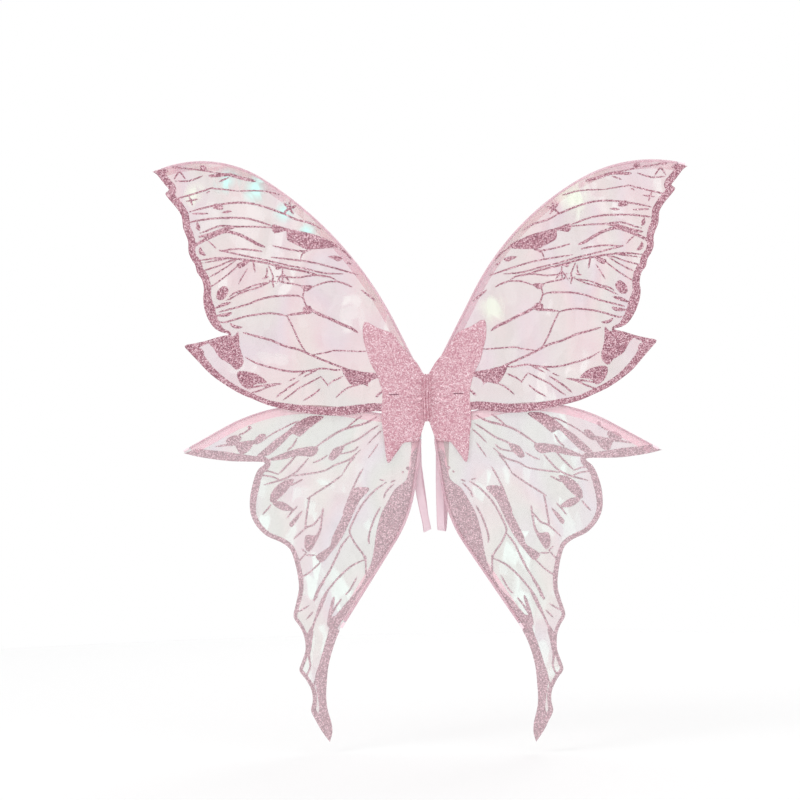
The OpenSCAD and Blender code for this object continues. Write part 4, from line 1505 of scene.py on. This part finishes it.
# The foot of a channel, under its sleeve: x from the hinge, and how far it is behind it.
FOOT = [(-0.9, -1.2), (-0.85, -2.6), (-1.5, -3.0), (-3.0, -3.05), (-3.0, -3.4), (3.0, -3.4),
        (3.0, -3.05), (1.5, -3.0), (0.85, -2.6), (0.9, -1.2)]
for side in (LEFT, RIGHT):
    here = SIDE_NAMES[side]
    rows, turns = 61, 22
    points, faces = [], []
    for r in range(rows):
        z = -CHANNEL_HALF + 2 * CHANNEL_HALF * r / (rows - 1)
        for loop in (0, 1):
            for k in range(turns):
                angle = 2 * math.pi * k / turns
                puckered = 0.05 * (1 + math.sin(z * 2.6 + 2 * math.sin(angle)))
                radius = CHANNEL_BORE if loop else CHANNEL_OUT - puckered
                points.append((side * HINGE_X + radius * math.cos(angle),
                               HINGE_Y + radius * math.sin(angle), z))
    ring = 2 * turns
    for loop in (0, 1):
        faces += tube_faces(rows, turns, loop * turns, ring)
    for r in (0, rows - 1):
        faces += [(r * ring + k, r * ring + (k + 1) % turns, r * ring + turns + (k + 1) % turns,
                   r * ring + turns + k) for k in range(turns)]
    sleeve = turned_out(solid(f"{here}_sleeve", np.array(points) / 1000, faces, felt_look,
                              "pad_felt"))
    points = np.array([
        (side * HINGE_X + a, HINGE_Y - b, -CHANNEL_HALF + 2 * CHANNEL_HALF * r / (rows - 1))
        for r in range(rows) for a, b in FOOT])
    points[:, 0] += 0.08 * np.sin(points[:, 2] * 2.6)
    faces = tube_faces(rows, len(FOOT)) + end_faces(rows, len(FOOT))
    foot = turned_out(solid(f"{here}_foot", points / 1000, faces, felt_look, "pad_felt"))
    channel = joined(f"{here}_sewn_channel", [sleeve, foot])
    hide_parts(f"{here}_hinge_channel")
    seam = stitched(f"{here}_channel_seam", [
        [(side * HINGE_X / 1000 + d, -0.00552, z) for z in np.linspace(-0.0225, 0.0225, 8)]
        for d in (-0.0022, 0.0022)])
    for piece in (channel, seam):
        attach(piece, "root")

# %% [markdown]
# ## Arm loops
# Each loop is nine millimetre elastic: a flat band of rubber cords wrapped in yarn, which shows as
# fine lengthwise ribs. The ribbed section is swept along the loop's path in code, because flat
# webbing is lost in a cloth simulation, and its ends are sewn to the panel with a box of stitches.

# %% Elastic
LOOP_ROUTE = [
    (-3.4, -28), (-3.4, -33), (-3.4, -38), (-3.3, -60), (-3.2, -90), (-2.8, -118), (-1.6, -136),
    (1.5, -144), (5, -138), (7, -120), (7.5, -90), (7.5, -50), (7, -10), (6.5, 16), (5.5, 32),
    (3, 39.5), (-0.5, 41), (-2.8, 38.5), (-3.4, 35), (-3.4, 31), (-3.4, 27)]
LOOP_OUT = {
    LEFT: [12.5] * 4 + [11.8, 7.5, 4.2, 3.4, 4.5, 7.5, 11.5, 16, 19] + [20] * 8,
    RIGHT: [12.5] * 4 + [12, 12, 12, 12.5, 13.5, 14.5, 15.5, 17, 19] + [20] * 8}
STRAP_HALF, STRAP_T, RIBS = 4.5, 1.2, 7
for side in (LEFT, RIGHT):
    here = SIDE_NAMES[side]
    route = smooth([(side * x, y, z) for x, (y, z) in zip(LOOP_OUT[side], LOOP_ROUTE)], 10)
    ahead = np.gradient(route, axis=0)
    ahead /= np.linalg.norm(ahead, axis=1)[:, None]
    across = np.cross(ahead, np.cross((1, 0, 0), ahead))
    across /= np.linalg.norm(across, axis=1)[:, None]
    up = np.cross(ahead, across)
    low = np.exp(-((route[:, 2] + 132) / 22) ** 2)[:, None]
    roll = np.radians(34 if side == LEFT else 14) * side * low
    across, up = (across * np.cos(roll) + up * np.sin(roll),
                  up * np.cos(roll) - across * np.sin(roll))
    span = np.linspace(-1, 1, 4 * RIBS + 1)
    rib = 0.5 * STRAP_T * (0.8 + 0.2 * np.abs(np.cos(span * math.pi * RIBS / 2)))
    rib *= np.where(np.abs(span) > 0.93, 0.6, 1.0)
    section = np.vstack([np.stack([span * STRAP_HALF, rib], -1),
                         np.stack([span * STRAP_HALF, -rib], -1)[::-1]])
    wave = 1 + 0.012 * np.sin(np.arange(len(route)) * 2.1)
    points = (route[:, None] + section[None, :, :1] * wave[:, None, None] * across[:, None]
              + section[None, :, 1:] * up[:, None]).reshape(-1, 3) / 1000
    count, rings = len(section), len(route)
    faces = tube_faces(rings, count) + end_faces(rings, count)
    loop = turned_out(solid(f"{here}_arm_loop", points, faces, elastic_look, "elastic"))
    steps = np.linalg.norm(np.diff(route, axis=0), axis=1)
    reach = np.concatenate([[0], np.cumsum(steps)])
    for title, values in (("across", np.tile(section[:, 0] / STRAP_HALF, rings)),
                          ("along", np.repeat(reach, count))):
        loop.data.attributes.new(title, "FLOAT", "POINT").data.foreach_set("value", values)
    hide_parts(f"{here}_strap")
    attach(loop, "root")
    print(loop.name, round(float(reach[-1])), "mm long")

boxes = []
for side in (LEFT, RIGHT):
    for x, z in ((12.5, -33), (20, 31)):
        corners = [(side * x - 3.2, z - 3.2), (side * x + 3.2, z - 3.2), (side * x + 3.2, z + 3.2),
                   (side * x - 3.2, z + 3.2), (side * x - 3.2, z - 3.2), (side * x + 3.2, z + 3.2)]
        boxes.append(np.array([(a, -2.75, b) for a, b in corners]) / 1000)
tacks = stitched("loop_tacks", boxes, 0.0016, 0.0013, 0.0004)
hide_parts("strap_stitches")
for piece in (pad, pad_seam, panel, tacks):
    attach(piece, "root")
